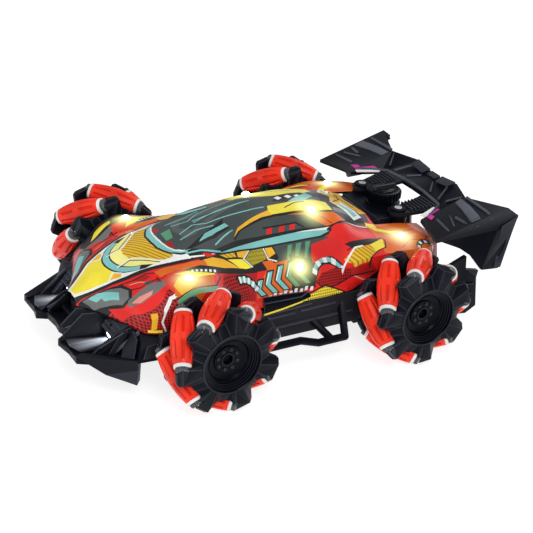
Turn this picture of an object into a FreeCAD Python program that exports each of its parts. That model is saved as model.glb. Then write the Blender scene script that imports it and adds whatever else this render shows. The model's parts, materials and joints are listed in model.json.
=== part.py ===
import FreeCAD, Part
import math
import os

import Sketcher
from FreeCAD import Placement, Rotation, Vector

# Radio-controlled stunt car with four slanted-roller wheels.
# Frame: X forward, Y to the car's left, Z up, millimetres. The origin is on the ground
# under the middle of the car's overall box.

SIZES = {
    # running gear
    "wheel_base": 140.0,
    "wheel_base_centre": 4.6,
    "axle_height": 35.5,
    "wheel_track_half": 82.4,
    "roller_count": 7,
    "roller_orbit": 27.9,
    "roller_mid_radius": 7.6,
    "roller_end_radius": 4.85,
    "roller_barrel_half": 17.8,
    "roller_collar_radius": 3.6,
    "roller_half": 20.3,
    "pin_radius": 1.0,
    "pin_half": 22.6,
    "running_gap": 0.06,
    "lobe_lead_deg": 31.1,
    "lobe_tip_radius": 34.7,
    "lobe_root_radius": 27.0,
    "disc_inner_face": 10.0,
    "disc_outer_face": 17.0,
    "hub_barrel_radius": 19.4,
    "hub_bore_radius": 3.0,
    "dish_radius": 18.4,
    "dish_depth": 3.5,
    # gears, module 0.8
    "gear_teeth": 30,
    "pinion_teeth": 10,
    "gear_root_radius": 11.15,
    "gear_tip_radius": 12.6,
    "pinion_root_radius": 3.15,
    "pinion_tip_radius": 4.6,
    "gear_centres": 16.0,
    "gear_width": 6.0,
    "gear_inner_face": 43.4,
    "shaft_inner_end": 41.0,
    # chassis
    "tub_front": 112.0,
    "tub_rear": -104.0,
    "tub_half_width": 40.0,
    "tub_floor": 12.0,
    "tub_top": 47.5,
    "wall": 2.0,
    "gearbox_half_length": 17.0,
    "gearbox_side": 55.0,
    "bearing_side": 60.0,
    "bearing_radius": 5.5,
    "sill_side": 58.0,
    "sill_front": 40.0,
    "sill_rear": -42.0,
    "sill_bottom": 18.0,
    "sill_top": 40.0,
    "deck_thick": 2.0,
    # motors and electrics
    "motor_radius": 10.0,
    "motor_inner_end": 12.0,
    "motor_outer_end": 37.5,
    "motor_boss_radius": 3.0,
    "battery_long": 60.0,
    "battery_wide": 32.0,
    "battery_rear": -38.0,
    "cell_radius": 8.0,
    "cell_height": 11.2,
    "hatch_rear": -44.0,
    "hatch_front": 26.0,
    "hatch_half_width": 21.0,
    "door_gap": 0.3,
    "board_long": 56.0,
    "board_wide": 40.0,
    "board_thick": 1.6,
    "board_rear": -34.0,
    "board_height": 24.0,
    # screws
    "screw_radius": 1.25,
    "screw_head_radius": 2.6,
    "screw_head_high": 1.6,
    "screw_depth": 13.0,
    "screw_post_radius": 3.5,
    # body and rear module
    "shell_wall": 1.6,
    "tank_front": -70.0,
    "tank_rear": -106.0,
    "tank_half_width": 26.0,
    "tank_base": 52.0,
    "tank_top": 68.0,
    "filler_place": -93.8,
    "neck_radius": 9.5,
    "neck_bore": 7.5,
    "neck_top": 76.0,
    "cap_radius": 12.0,
    "cap_top": 79.5,
    "boss_radius": 5.5,
    "boss_along": -91.0,
    "boss_across": 21.8,
    "boss_top": 70.0,
    "wing_thick": 2.2,
    # bars
    "bar_radius": 2.5,
    "bar_side": 70.0,
    "bar_height": 16.0,
}

doc = FreeCAD.newDocument("stunt_car")
sheet = doc.addObject("Spreadsheet::Sheet", "sizes")
for row, (alias, number) in enumerate(SIZES.items(), start=1):
    sheet.set(f"A{row}", alias)
    sheet.set(f"B{row}", str(number))
    sheet.setAlias(f"B{row}", alias)
doc.recompute()

SUB_PARTS = []


def size(alias):
    return float(sheet.get(alias))


AXLE_FRONT = size("wheel_base_centre") + size("wheel_base") / 2
AXLE_REAR = size("wheel_base_centre") - size("wheel_base") / 2
AXLE_Z = size("axle_height")
TRACK = size("wheel_track_half")

# name, axle position, side (+1 left, -1 right), angle of the first roller from +X towards +Z
WHEELS = (
    ("fl", AXLE_FRONT, 1, 28.7),
    ("rl", AXLE_REAR, 1, 41.3),
    ("fr", AXLE_FRONT, -1, 52.0),
    ("rr", AXLE_REAR, -1, 54.3),
)
PITCH = 360.0 / SIZES["roller_count"]

# chassis screws in plan, and how deep their heads are sunk into the floor
SCREWS = ((98, 30), (98, -30), (-96, 30), (-96, -30))
HEAD_LIFT = 0.2
# height of a wing bracket's top over its boss
WING_SEAT = 2.5
# parts on the circuit board: x from its rear edge, y, length, width and height
CHIPS = ((20, -6, 12, 12, 2.0), (38, -9, 9, 6, 1.6), (38, 4, 9, 6, 1.6), (7, -7, 7, 14, 4.0))


def keep(feature, label):
    """Mark a feature as a finished sub-part; its label names its file."""
    feature.Label = label
    SUB_PARTS.append(feature)
    return feature


def bind(feature, **expressions):
    for prop, expression in expressions.items():
        feature.setExpression(prop, expression)
    return feature


# ---------------------------------------------------------------- primitives and booleans

def box(name, low, high):
    block = doc.addObject("Part::Box", name)
    block.Length, block.Width, block.Height = [b - a for a, b in zip(low, high)]
    block.Placement = Placement(Vector(*low), Rotation())
    return block


def rod(name, start, end, radius):
    """Cylinder from start to end; radius is a sheet expression or a number."""
    start, end = Vector(*start), Vector(*end)
    piece = doc.addObject("Part::Cylinder", name)
    if isinstance(radius, str):
        bind(piece, Radius=radius)
    else:
        piece.Radius = radius
    piece.Height = (end - start).Length
    piece.Placement = Placement(start, Rotation(Vector(0, 0, 1), end - start))
    return piece


def fuse(name, pieces):
    joined = doc.addObject("Part::MultiFuse", name)
    joined.Shapes = pieces
    return joined


def cut(name, base, tool):
    result = doc.addObject("Part::Cut", name)
    result.Base = base
    result.Tool = tool
    return result


def group(name, pieces):
    """Several separate solids kept as one node."""
    compound = doc.addObject("Part::Compound", name)
    compound.Links = pieces
    return compound


def feature(name, shape):
    piece = doc.addObject("Part::Feature", name)
    piece.Shape = shape
    return piece


def both_sides(make, name):
    """The left piece and its mirror image on the right."""
    left = make(name + "_left")
    right = doc.addObject("Part::Mirroring", name + "_right")
    right.Source = left
    right.Normal = Vector(0, 1, 0)
    return [left, right]


# ---------------------------------------------------------------- faceted sheets and hulls

def facets_to_solid(facets):
    faces = [Part.Face(Part.makePolygon([*corners, corners[0]])) for corners in facets]
    return Part.makeSolid(Part.makeShell(faces))


def thick_sheet(points, triangles, offset):
    """Closed solid made by carrying a triangulated sheet along offset."""
    top = {key: Vector(*place) for key, place in points.items()}
    low = {key: place + Vector(*offset) for key, place in top.items()}
    facets = []
    edges = {}
    for tri in triangles:
        facets.append([top[k] for k in tri])
        facets.append([low[k] for k in reversed(tri)])
        for k in range(3):
            edges[(tri[k], tri[(k + 1) % 3])] = True
    for a, b in edges:
        if (b, a) not in edges:
            facets.append([top[a], low[a], low[b], top[b]])
    return facets_to_solid(facets)


def lofted_hull(stations):
    """Faceted solid through half sections; each is (x, [(y, z), ...]) from the top down."""
    rings = []
    for x, half in stations:
        left = [Vector(x, y, z) for y, z in half]
        right = [Vector(x, -y, z) for y, z in half[1:]]
        rings.append(right[::-1] + left)
    facets = [rings[0][::-1], rings[-1]]
    for ring, after in zip(rings, rings[1:]):
        count = len(ring)
        for k in range(count):
            n = (k + 1) % count
            if k == count - 1:
                facets.append([ring[k], ring[n], after[n], after[k]])
            else:
                facets.append([ring[k], ring[n], after[n]])
                facets.append([ring[k], after[n], after[k]])
    return facets_to_solid(facets)


def inset(half, wall):
    """Half section moved inwards by wall, square to its own outline."""
    result = []
    for k, (y, z) in enumerate(half):
        y_a, z_a = half[max(k - 1, 0)]
        y_b, z_b = half[min(k + 1, len(half) - 1)]
        run, fall = y_b - y_a, z_b - z_a
        length = math.hypot(run, fall)
        dy = wall * fall / length if k else 0.0
        dz = -wall * run / length if k else -wall
        result.append((max(y + dy, 0.0), z + dz))
    return result


# ---------------------------------------------------------------- sketched bodies

def plane_of(body, role):
    return next(f for f in body.Origin.OriginFeatures if f.Role == role)


def number_of(spec):
    if isinstance(spec, str):
        return -size(spec[1:]) if spec.startswith("-") else size(spec)
    return spec


def expression_of(spec):
    return "-sizes." + spec[1:] if spec.startswith("-") else "sizes." + spec


def sketch_on(body, name, role, lift=0.0):
    sketch = body.newObject("Sketcher::SketchObject", name)
    sketch.AttachmentSupport = (plane_of(body, role), [""])
    sketch.MapMode = "FlatFace"
    sketch.AttachmentOffset = Placement(Vector(0, 0, lift), Rotation())
    return sketch


def draw_polygon(sketch, corners):
    """Closed outline; a corner's coordinates are numbers or sheet aliases."""
    points = [Vector(number_of(u), number_of(v), 0) for u, v in corners]
    count = len(points)
    for k, start in enumerate(points):
        sketch.addGeometry(Part.LineSegment(start, points[(k + 1) % count]), False)
    for k in range(count):
        sketch.addConstraint(Sketcher.Constraint("Coincident", k, 2, (k + 1) % count, 1))
    for k, corner in enumerate(corners):
        for kind, spec in zip(("DistanceX", "DistanceY"), corner):
            index = sketch.addConstraint(
                Sketcher.Constraint(kind, -1, 1, k, 1, number_of(spec)))
            if isinstance(spec, str):
                sketch.setExpression(f"Constraints[{index}]", expression_of(spec))


def draw_circle(sketch, centre, radius):
    """Circle about a point; radius is a sheet alias."""
    index = sketch.addGeometry(
        Part.Circle(Vector(*centre, 0), Vector(0, 0, 1), size(radius)), False)
    dimension = sketch.addConstraint(Sketcher.Constraint("Radius", index, size(radius)))
    sketch.setExpression(f"Constraints[{dimension}]", "sizes." + radius)
    for kind, place in zip(("DistanceX", "DistanceY"), centre):
        sketch.addConstraint(Sketcher.Constraint(kind, -1, 1, index, 3, place))


def pad(body, sketch, length):
    """Pad along +Z of the sketch; length is an expression or a number."""
    solid = body.newObject("PartDesign::Pad", sketch.Name + "_pad")
    solid.Profile = sketch
    if isinstance(length, str):
        bind(solid, Length=length)
    else:
        solid.Length = length
    return solid


def pocket(body, sketch, depth):
    """Pocket downwards from the sketch, into the solid below it."""
    hole = body.newObject("PartDesign::Pocket", sketch.Name + "_pocket")
    hole.Profile = sketch
    hole.Length = depth
    return hole


def outward(axle_x, side, across=TRACK):
    """Placement whose Z axis points out of the car at a wheel."""
    turn = Rotation(Vector(1, 0, 0), -90 * side)
    return Placement(Vector(axle_x, side * across, AXLE_Z), turn)


# ---------------------------------------------------------------- wheels

def roller_pose(axle_x, side, angle):
    """Placement of a roller: Z runs along its pin, from the inner to the outer end."""
    phi = math.radians(angle)
    orbit = size("roller_orbit")
    centre = Vector(axle_x + orbit * math.cos(phi), side * TRACK, AXLE_Z + orbit * math.sin(phi))
    axis = Vector(math.sin(phi), side, -math.cos(phi))
    return Placement(centre, Rotation(Vector(0, 0, 1), axis))


def make_roller(label, pose):
    """Barrel with a crowned side and a collar at each end, turned about its pin bore."""
    body = doc.addObject("PartDesign::Body", label)
    sketch = sketch_on(body, label + "_profile", "XZ_Plane")
    bore = size("pin_radius") + size("running_gap")
    collar, rim = size("roller_collar_radius"), size("roller_end_radius")
    half, barrel = size("roller_half"), size("roller_barrel_half")
    points = [Vector(radius, along, 0) for radius, along in (
        (rim, barrel), (rim, -barrel), (collar, -barrel), (collar, -half),
        (bore, -half), (bore, half), (collar, half), (collar, barrel))]
    crown = Vector(size("roller_mid_radius"), 0, 0)
    sketch.addGeometry(Part.Arc(points[0], crown, points[1]), False)
    for start, end in zip(points[1:], points[2:] + points[:1]):
        sketch.addGeometry(Part.LineSegment(start, end), False)
    spin = body.newObject("PartDesign::Revolution", label + "_turned")
    spin.Profile = sketch
    spin.ReferenceAxis = (sketch, ["V_Axis"])
    spin.Angle = 360
    body.Placement = pose
    keep(body, label)


def star_outline(hand):
    """Seven lobes about the axle, each ahead of the end of a roller."""
    tip, root = size("lobe_tip_radius"), size("lobe_root_radius")
    lobe = ((root, -21.0), (tip, -14.0), (tip, 12.5), (root, 21.0))
    corners = []
    for k in range(int(size("roller_count"))):
        for radius, lead in lobe[::hand]:
            angle = math.radians(k * PITCH + hand * lead)
            corners.append((radius * math.cos(angle), radius * math.sin(angle)))
    return corners


def make_star(name, hand):
    """Lobed disc, first lobe on +X, between the two disc faces."""
    body = doc.addObject("PartDesign::Body", name)
    outline = sketch_on(body, name + "_outline", "XY_Plane", size("disc_inner_face"))
    draw_polygon(outline, star_outline(hand))
    pad(body, outline, "sizes.disc_outer_face - sizes.disc_inner_face")
    return body


def roller_room():
    """Turned shape about Z that clears half a roller all round and ends in the hole for its pin."""
    middle, rim = size("roller_mid_radius"), size("roller_end_radius")
    half, end = size("roller_barrel_half") + 0.4, size("roller_half") + 0.5
    collar, pin = size("roller_collar_radius") + 0.5, size("pin_radius")
    shoulder = (3 * middle + rim) / 4 + 0.55
    profile = [Vector(radius, 0, along) for radius, along in (
        (0, 0), (middle + 0.5, 0), (shoulder, half / 2), (rim + 0.45, half), (collar, half), (collar, end),
        (pin, end), (pin, size("pin_half")), (0, size("pin_half")), (0, 0))]
    return Part.Face(Part.makePolygon(profile)).revolve(Vector(), Vector(0, 0, 1), 360)


def roller_pockets(name, axle_x, side, first, end):
    """Room for the roller ends in one disc, and the holes that grip their pins."""
    turned = Placement(Vector(), Rotation(Vector(1, 0, 0), 90 - 90 * end))
    tools = []
    for k in range(int(size("roller_count"))):
        tool = roller_room()
        tool.Placement = roller_pose(axle_x, side, first + k * PITCH).multiply(turned)
        tools.append(tool)
    return feature(name, Part.makeCompound(tools))


def make_outer_star(tag, axle_x, side, first):
    label = "hub_star_" + tag
    star = make_star("star_" + tag, side)
    face = size("disc_outer_face")
    dish = sketch_on(star, "dish_" + tag, "XY_Plane", face)
    draw_circle(dish, (0, 0), "dish_radius")
    draw_circle(dish, (0, 0), "bearing_radius")
    pocket(star, dish, size("dish_depth"))
    bore = sketch_on(star, "bore_" + tag, "XY_Plane", face)
    draw_circle(bore, (0, 0), "hub_bore_radius")
    pocket(star, bore, face)
    lead = first - size("lobe_lead_deg")
    star.Placement = outward(axle_x, side).multiply(
        Placement(Vector(), Rotation(Vector(0, 0, 1), -side * lead)))
    pockets = roller_pockets("outer_pockets_" + tag, axle_x, side, first, 1)
    keep(cut(label, star, pockets), label)


def make_inner_plate(tag, axle_x, side, first):
    """Inner lobed disc with the hub barrel, and the seven steel pins."""
    label = "hub_plate_" + tag
    plate = make_star("plate_" + tag, -side)
    barrel = sketch_on(plate, "barrel_" + tag, "XY_Plane", -size("disc_inner_face"))
    draw_circle(barrel, (0, 0), "hub_barrel_radius")
    pad(plate, barrel, "2 * sizes.disc_inner_face")
    bore = sketch_on(plate, "plate_bore_" + tag, "XY_Plane", size("disc_outer_face"))
    draw_circle(bore, (0, 0), "hub_bore_radius")
    pocket(plate, bore, 2 * size("disc_outer_face"))
    lead = first + size("lobe_lead_deg")
    plate.Placement = outward(axle_x, side).multiply(
        Placement(Vector(), Rotation(Vector(0, 0, 1), -side * lead))).multiply(
        Placement(Vector(), Rotation(Vector(1, 0, 0), 180)))
    pockets = roller_pockets("inner_pockets_" + tag, axle_x, side, first, -1)
    pins = []
    for k in range(int(size("roller_count"))):
        pose = roller_pose(axle_x, side, first + k * PITCH)
        pin = doc.addObject("Part::Cylinder", f"pin_{tag}_{k + 1}")
        bind(pin, Radius="sizes.pin_radius", Height="2 * sizes.pin_half")
        pin.Placement = pose.multiply(
            Placement(Vector(0, 0, -size("pin_half")), Rotation()))
        pins.append(pin)
    keep(group(label, [cut("plate_cut_" + tag, plate, pockets), *pins]), label)


def make_gear(name, prefix, teeth, root_half, tip_half, shaft_radius, shaft_low, shaft_high):
    """Spur gear on a shaft; the face nearest the car's middle is at z = 0."""
    body = doc.addObject("PartDesign::Body", name)
    shaft = sketch_on(body, name + "_shaft", "XY_Plane", shaft_low)
    draw_circle(shaft, (0, 0), shaft_radius)
    pad(body, shaft, shaft_high - shaft_low)
    disc = sketch_on(body, name + "_disc", "XY_Plane")
    draw_circle(disc, (0, 0), prefix + "_root_radius")
    pad(body, disc, "sizes.gear_width")
    tooth = sketch_on(body, name + "_tooth", "XY_Plane")
    foot = size(prefix + "_root_radius") - 0.3
    tip = prefix + "_tip_radius"
    draw_polygon(tooth, [(foot, -root_half), (tip, -tip_half), (tip, tip_half), (foot, root_half)])
    one_tooth = pad(body, tooth, "sizes.gear_width")
    ring = body.newObject("PartDesign::PolarPattern", name + "_teeth")
    ring.Originals = [one_tooth]
    ring.Axis = (tooth, ["N_Axis"])
    ring.Angle = 360
    bind(ring, Occurrences="sizes." + teeth)
    body.Tip = ring
    return body


def make_drive(tag, axle_x, side):
    """Wheel shaft with its gear, and the motor pinion that drives it."""
    inner = size("gear_inner_face")
    low = size("shaft_inner_end") - inner
    high = TRACK + size("disc_outer_face") - size("dish_depth") - inner
    shaft = make_gear("drive_axle_" + tag, "gear", "gear_teeth", 0.62, 0.3,
                      "hub_bore_radius", low, high)
    shaft.Placement = outward(axle_x, side, inner)
    keep(shaft, "drive_axle_" + tag)
    towards_middle = -1 if axle_x > 0 else 1
    motor_x = axle_x + towards_middle * size("gear_centres")
    pinion = make_gear("pinion_" + tag, "pinion", "pinion_teeth", 0.55, 0.28,
                       "pin_radius", -1.0, size("gear_width") + 1.0)
    half_tooth = Placement(Vector(), Rotation(Vector(0, 0, 1), 180.0 / size("pinion_teeth")))
    pinion.Placement = outward(motor_x, side, inner).multiply(half_tooth)
    keep(pinion, "motor_pinion_" + tag)
    return motor_x


def make_motor(name, motor_x, side):
    """Can with flat sides and the boss of its front bearing."""
    inner, outer = size("motor_inner_end"), size("motor_outer_end")
    radius = size("motor_radius")
    can = rod(name + "_can", (motor_x, side * inner, AXLE_Z), (motor_x, side * outer, AXLE_Z),
              "sizes.motor_radius")
    flats = box(name + "_flats", (motor_x - radius, -outer - 1, AXLE_Z - 0.76 * radius),
                (motor_x + radius, outer + 1, AXLE_Z + 0.76 * radius))
    body = doc.addObject("Part::Common", name + "_body")
    body.Base = can
    body.Tool = flats
    boss = rod(name + "_boss", (motor_x, side * (outer - 1), AXLE_Z),
               (motor_x, side * (size("tub_half_width") + 0.5), AXLE_Z),
               "sizes.motor_boss_radius")
    return fuse(name, [body, boss])


# ---------------------------------------------------------------- chassis

def gearbox_blocks(suffix, grow, floor, top):
    """The four boxes round the axles, grown or shrunk by a wall."""
    half, side = size("gearbox_half_length") + grow, size("gearbox_side") + grow
    inner = size("tub_half_width") - max(grow, 0)
    blocks = []
    for tag, axle_x, hand, _ in WHEELS:
        low_y, high_y = sorted((hand * inner, hand * side))
        towards_middle = -1 if axle_x > 0 else 1
        near = axle_x - towards_middle * half
        far = axle_x + towards_middle * (half + 8)
        low_x, high_x = sorted((near, far))
        blocks.append(box(f"gearbox_{suffix}_{tag}", (low_x, low_y, floor), (high_x, high_y, top)))
    return blocks


def make_tray(motor_places):
    wall, floor, top = size("wall"), size("tub_floor"), size("tub_top")
    front, rear, half = size("tub_front"), size("tub_rear"), size("tub_half_width")
    outer = box("tub_outer", (rear, -half, floor), (front, half, top))
    inner = box("tub_inner", (rear + wall, wall - half, floor + wall),
                (front - wall, half - wall, top + 1))
    tub = cut("tub", outer, inner)
    low = size("sill_bottom")
    sills, sill_rooms = [], []
    for hand in (1, -1):
        low_y, high_y = sorted((hand * half, hand * size("sill_side")))
        sills.append(box(f"sill_{hand + 1}", (size("sill_rear"), low_y, low),
                         (size("sill_front"), high_y, size("sill_top"))))
        low_y, high_y = sorted((hand * half, hand * (size("sill_side") - wall)))
        sill_rooms.append(box(f"sill_room_{hand + 1}",
                              (size("sill_rear") + wall, low_y, low + wall),
                              (size("sill_front") - wall, high_y, size("sill_top") + 1)))
    gearboxes = gearbox_blocks("outer", 0.0, floor + wall, top)
    bearings = [rod("bearing_" + tag, (axle_x, hand * half, AXLE_Z),
                    (axle_x, hand * size("bearing_side"), AXLE_Z), "sizes.bearing_radius")
                for tag, axle_x, hand, _ in WHEELS]
    saddles = [box(f"saddle_{k}", (x - 8, min(h * 16, h * 34), floor + wall),
                   (x + 8, max(h * 16, h * 34), floor + 16))
               for k, (x, h) in enumerate(motor_places)]
    posts = [rod(f"post_{k}", (x, y, floor), (x, y, top), "sizes.screw_post_radius")
             for k, (x, y) in enumerate(SCREWS)]
    solid = fuse("tray_solid", [tub, *sills, *gearboxes, *bearings, *saddles, *posts])
    rooms = gearbox_blocks("room", -wall, floor + 2 * wall, top + 1)
    bores = [rod("axle_bore_" + tag, (axle_x, hand * (half - 3), AXLE_Z),
                 (axle_x, hand * 62, AXLE_Z), "sizes.hub_bore_radius + sizes.running_gap")
             for tag, axle_x, hand, _ in WHEELS]
    motor_rooms = []
    for k, (x, hand) in enumerate(motor_places):
        motor_rooms.append(rod(f"motor_room_{k}", (x, hand * 11, AXLE_Z),
                               (x, hand * 37.6, AXLE_Z), "sizes.motor_radius + 0.1"))
        motor_rooms.append(rod(f"boss_room_{k}", (x, hand * 37, AXLE_Z),
                               (x, hand * 42, AXLE_Z), "sizes.motor_boss_radius + 0.2"))
    screw_holes = []
    for k, (x, y) in enumerate(SCREWS):
        screw_holes.append(rod(f"screw_hole_{k}", (x, y, floor - 1),
                               (x, y, floor + size("screw_depth") + 1), "sizes.screw_radius"))
        screw_holes.append(rod(f"head_seat_{k}", (x, y, floor - 1),
                               (x, y, floor + HEAD_LIFT + size("screw_head_high")),
                               "sizes.screw_head_radius + 0.2"))
    hatch_half = size("hatch_half_width")
    hatch = box("hatch", (size("hatch_rear"), -hatch_half, floor - 1),
                (size("hatch_front"), hatch_half, floor + wall + 1))
    slot = box("switch_slot", (36, -2.5, floor - 1), (46, 2.5, floor + wall + 1))
    tools = [*rooms, *bores, *motor_rooms, *screw_holes, *sill_rooms, hatch, slot]
    keep(cut("chassis_tray", solid, fuse("tray_tools", tools)), "chassis_tray")


def make_deck():
    """Flat cover over the tub and gearboxes, with the posts of the circuit board and tank
    and a slot over the top of each gear."""
    low, high = size("tub_top"), size("tub_top") + size("deck_thick")
    half = size("tub_half_width")
    plate = box("deck_plate", (size("tub_rear"), -half, low), (size("tub_front") - 8, half, high))
    lids = gearbox_blocks("lid", 0.0, low, high)
    board_top = size("tub_floor") + size("board_height") + size("board_thick")
    posts = [rod(f"board_post_{k}", (x, y, board_top), (x, y, low + 1), 2.0)
             for k, (x, y) in enumerate(((-30, 17), (18, 17), (-30, -17), (18, -17)))]
    legs = [rod(f"tank_leg_{k}", (x, y, low), (x, y, size("tank_base")), 3.0)
            for k, (x, y) in enumerate(((-76, 20), (-100, 20), (-76, -20), (-100, -20)))]
    slots = []
    near, far = size("gear_inner_face") - 0.6, size("gear_inner_face") + size("gear_width") + 0.6
    for tag, axle_x, hand, _ in WHEELS:
        low_y, high_y = sorted((hand * near, hand * far))
        slots.append(box("gear_slot_" + tag, (axle_x - 6, low_y, low - 1), (axle_x + 6, high_y, high + 1)))
    deck = cut("deck", fuse("deck_solid", [plate, *lids, *posts, *legs]), fuse("gear_slots", slots))
    keep(deck, "chassis_deck")


def make_electrics():
    """Two cells under a hatch, the circuit board over them and the slide switch."""
    floor = size("tub_floor")
    rear, front = size("battery_rear"), size("battery_rear") + size("battery_long")
    cell_z, quarter = floor + size("cell_height"), size("battery_wide") / 4
    cells = [rod(f"cell_{hand + 1}", (rear, hand * quarter, cell_z), (front, hand * quarter, cell_z),
                 "sizes.cell_radius") for hand in (1, -1)]
    wrap = doc.addObject("Part::Box", "battery_wrap")
    bind(wrap, Length="sizes.battery_long", Width="sizes.battery_wide / 2",
         Height="2 * sizes.cell_radius")
    wrap.Placement = Placement(Vector(rear, -quarter, cell_z - size("cell_radius")), Rotation())
    keep(fuse("battery_pack", [*cells, wrap]), "battery_pack")

    gap = size("door_gap")
    low_x, high_x = size("hatch_rear") + gap, size("hatch_front") - gap
    half = size("hatch_half_width") - gap
    door = doc.addObject("PartDesign::Body", "battery_door")
    plate = sketch_on(door, "door_plate", "XY_Plane", floor)
    draw_polygon(plate, [(low_x, -half), (high_x, -half), (high_x, half), (low_x, half)])
    pad(door, plate, "sizes.wall")
    cradle = sketch_on(door, "door_cradle", "XY_Plane", floor + size("wall"))
    draw_polygon(cradle, [(rear, -12), (front, -12), (front, 12), (rear, 12)])
    pad(door, cradle, 1.2)
    keep(door, "battery_door")

    board_x, long, wide = size("board_rear"), size("board_long"), size("board_wide")
    board = doc.addObject("Part::Box", "board")
    bind(board, Length="sizes.board_long", Width="sizes.board_wide", Height="sizes.board_thick")
    board.Placement = Placement(Vector(board_x, -wide / 2, floor + size("board_height")), Rotation())
    top = floor + size("board_height") + size("board_thick")
    chips = []
    for k, (x, y, long_x, long_y, high) in enumerate(CHIPS):
        chips.append(box(f"chip_{k}", (board_x + x, y, top), (board_x + x + long_x, y + long_y, top + high)))
    aerial_x = board_x + long - 3
    aerial = rod("aerial", (aerial_x, 0, top), (aerial_x, 0, top + 6.5), 0.8)
    keep(fuse("circuit_board", [board, *chips, aerial]), "circuit_board")

    flange_z = floor + size("wall") + 0.4
    knob = box("switch_knob", (37.2, -2.1, floor - 1.6), (41.8, 2.1, flange_z))
    flange = box("switch_flange", (33.5, -5, flange_z), (45.5, 5, flange_z + 1.6))
    keep(fuse("power_switch", [knob, flange]), "power_switch")


def make_screws():
    """Four chassis screws sunk in from below and the two screws of the wing brackets."""
    floor, head_high = size("tub_floor"), size("screw_head_high")
    shank_radius = "sizes.screw_radius"
    screws = []
    for k, (x, y) in enumerate(SCREWS):
        head_top = floor + HEAD_LIFT + head_high
        head = rod(f"head_{k}", (x, y, floor + HEAD_LIFT), (x, y, head_top), "sizes.screw_head_radius")
        shank = rod(f"shank_{k}", (x, y, head_top - 0.5), (x, y, floor + size("screw_depth")), shank_radius)
        screws.append(fuse(f"screw_{k}", [head, shank]))
    top = size("boss_top") + WING_SEAT
    for hand in (1, -1):
        place = (size("boss_along"), hand * size("boss_across"))
        head = rod(f"wing_head_{hand + 1}", (*place, top), (*place, top + head_high),
                   "sizes.screw_head_radius")
        shank = rod(f"wing_shank_{hand + 1}", (*place, top - 8), (*place, top + 0.5), shank_radius)
        screws.append(fuse(f"wing_screw_{hand + 1}", [head, shank]))
    keep(group("screws", screws), "screws")


# ---------------------------------------------------------------- body shell

# Half sections from nose to tail: x, then (y, z) of the centre line, hood ridge or roof rail,
# waist, fender crest, outer edge and skirt.
BODY = (
    (134.0, ((0, 46.0), (3, 45.4), (5, 44.6), (6.5, 43.6), (7.5, 42.4), (8, 41.0))),
    (126.0, ((0, 51.0), (8, 49.6), (14, 48.4), (17, 46.0), (18.5, 43.4), (19, 41.0))),
    (116.0, ((0, 58.0), (13, 56.2), (28, 53.4), (33, 49.8), (38, 44.6), (40, 41.0))),
    (109.0, ((0, 61.4), (15.5, 59.4), (29, 56.6), (42, 52.4), (52, 46.0), (55, 40.5))),
    (100.0, ((0, 65.2), (18.8, 63.0), (31, 59.4), (44, 58.0), (55.5, 51.0), (58.5, 40.0))),
    (90.0, ((0, 68.6), (22.5, 65.6), (33, 62.6), (45, 64.0), (58.2, 58.6), (60, 47.5))),
    (77.0, ((0, 71.8), (19, 69.6), (30, 65.6), (45, 66.4), (59, 62.8), (60.5, 56.0))),
    (62.0, ((0, 76.4), (18, 74.4), (26.5, 69.0), (44, 65.6), (57.5, 60.4), (58.5, 52.0))),
    (50.0, ((0, 79.8), (19, 77.2), (27, 69.6), (44, 64.2), (54.5, 55.6), (57.5, 46.0))),
    (32.0, ((0, 84.4), (20.5, 79.0), (27.5, 72.0), (42, 64.4), (53, 54.6), (58.4, 43.0))),
    (12.0, ((0, 87.2), (16.4, 83.4), (28, 73.0), (41, 65.2), (52, 55.0), (58.4, 41.6))),
    (-12.0, ((0, 87.2), (15.3, 83.8), (28, 73.4), (41, 65.2), (52, 55.4), (58.4, 41.0))),
    (-32.0, ((0, 84.6), (15.8, 81.4), (27.6, 73.0), (41, 66.0), (53, 57.4), (58.4, 41.6))),
    (-42.0, ((0, 82.0), (16.4, 79.2), (27.4, 74.6), (41, 68.4), (55.5, 60.6), (58.6, 46.0))),
    (-56.0, ((0, 77.4), (16.6, 75.6), (27.2, 69.6), (43, 67.4), (58.2, 62.4), (60, 54.0))),
    (-70.0, ((0, 72.0), (18, 70.6), (28, 67.6), (45, 66.6), (59, 63.0), (60.5, 56.0))),
    (-90.0, ((0, 67.0), (18, 66.4), (29, 65.2), (45, 64.8), (57.5, 60.6), (59.5, 52.0))),
    (-103.4, ((0, 63.6), (18, 63.2), (29, 62.8), (43, 62.2), (51.5, 59.6), (53.5, 50.0))),
)

# Lamps that shine through the shell: x, y and the height of the skin there.
LAMPS = ((77, 45, 66.4), (77, -45, 66.4), (-78, 45, 66.0), (-78, -45, 66.0),
         (0, 47, 59.6), (0, -47, 59.6), (5, -15.8, 83.5), (-25, 17, 81.2))
LAMP_RADIUS = 2.4
HEADLAMP_RADIUS = 5.0


def headlamp_point(hand, ahead):
    """Point on a headlamp's axis, which dips forwards, at a distance ahead of its foot."""
    return (118.0 + ahead, hand * 31, 31 - 0.15 * ahead)


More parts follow.
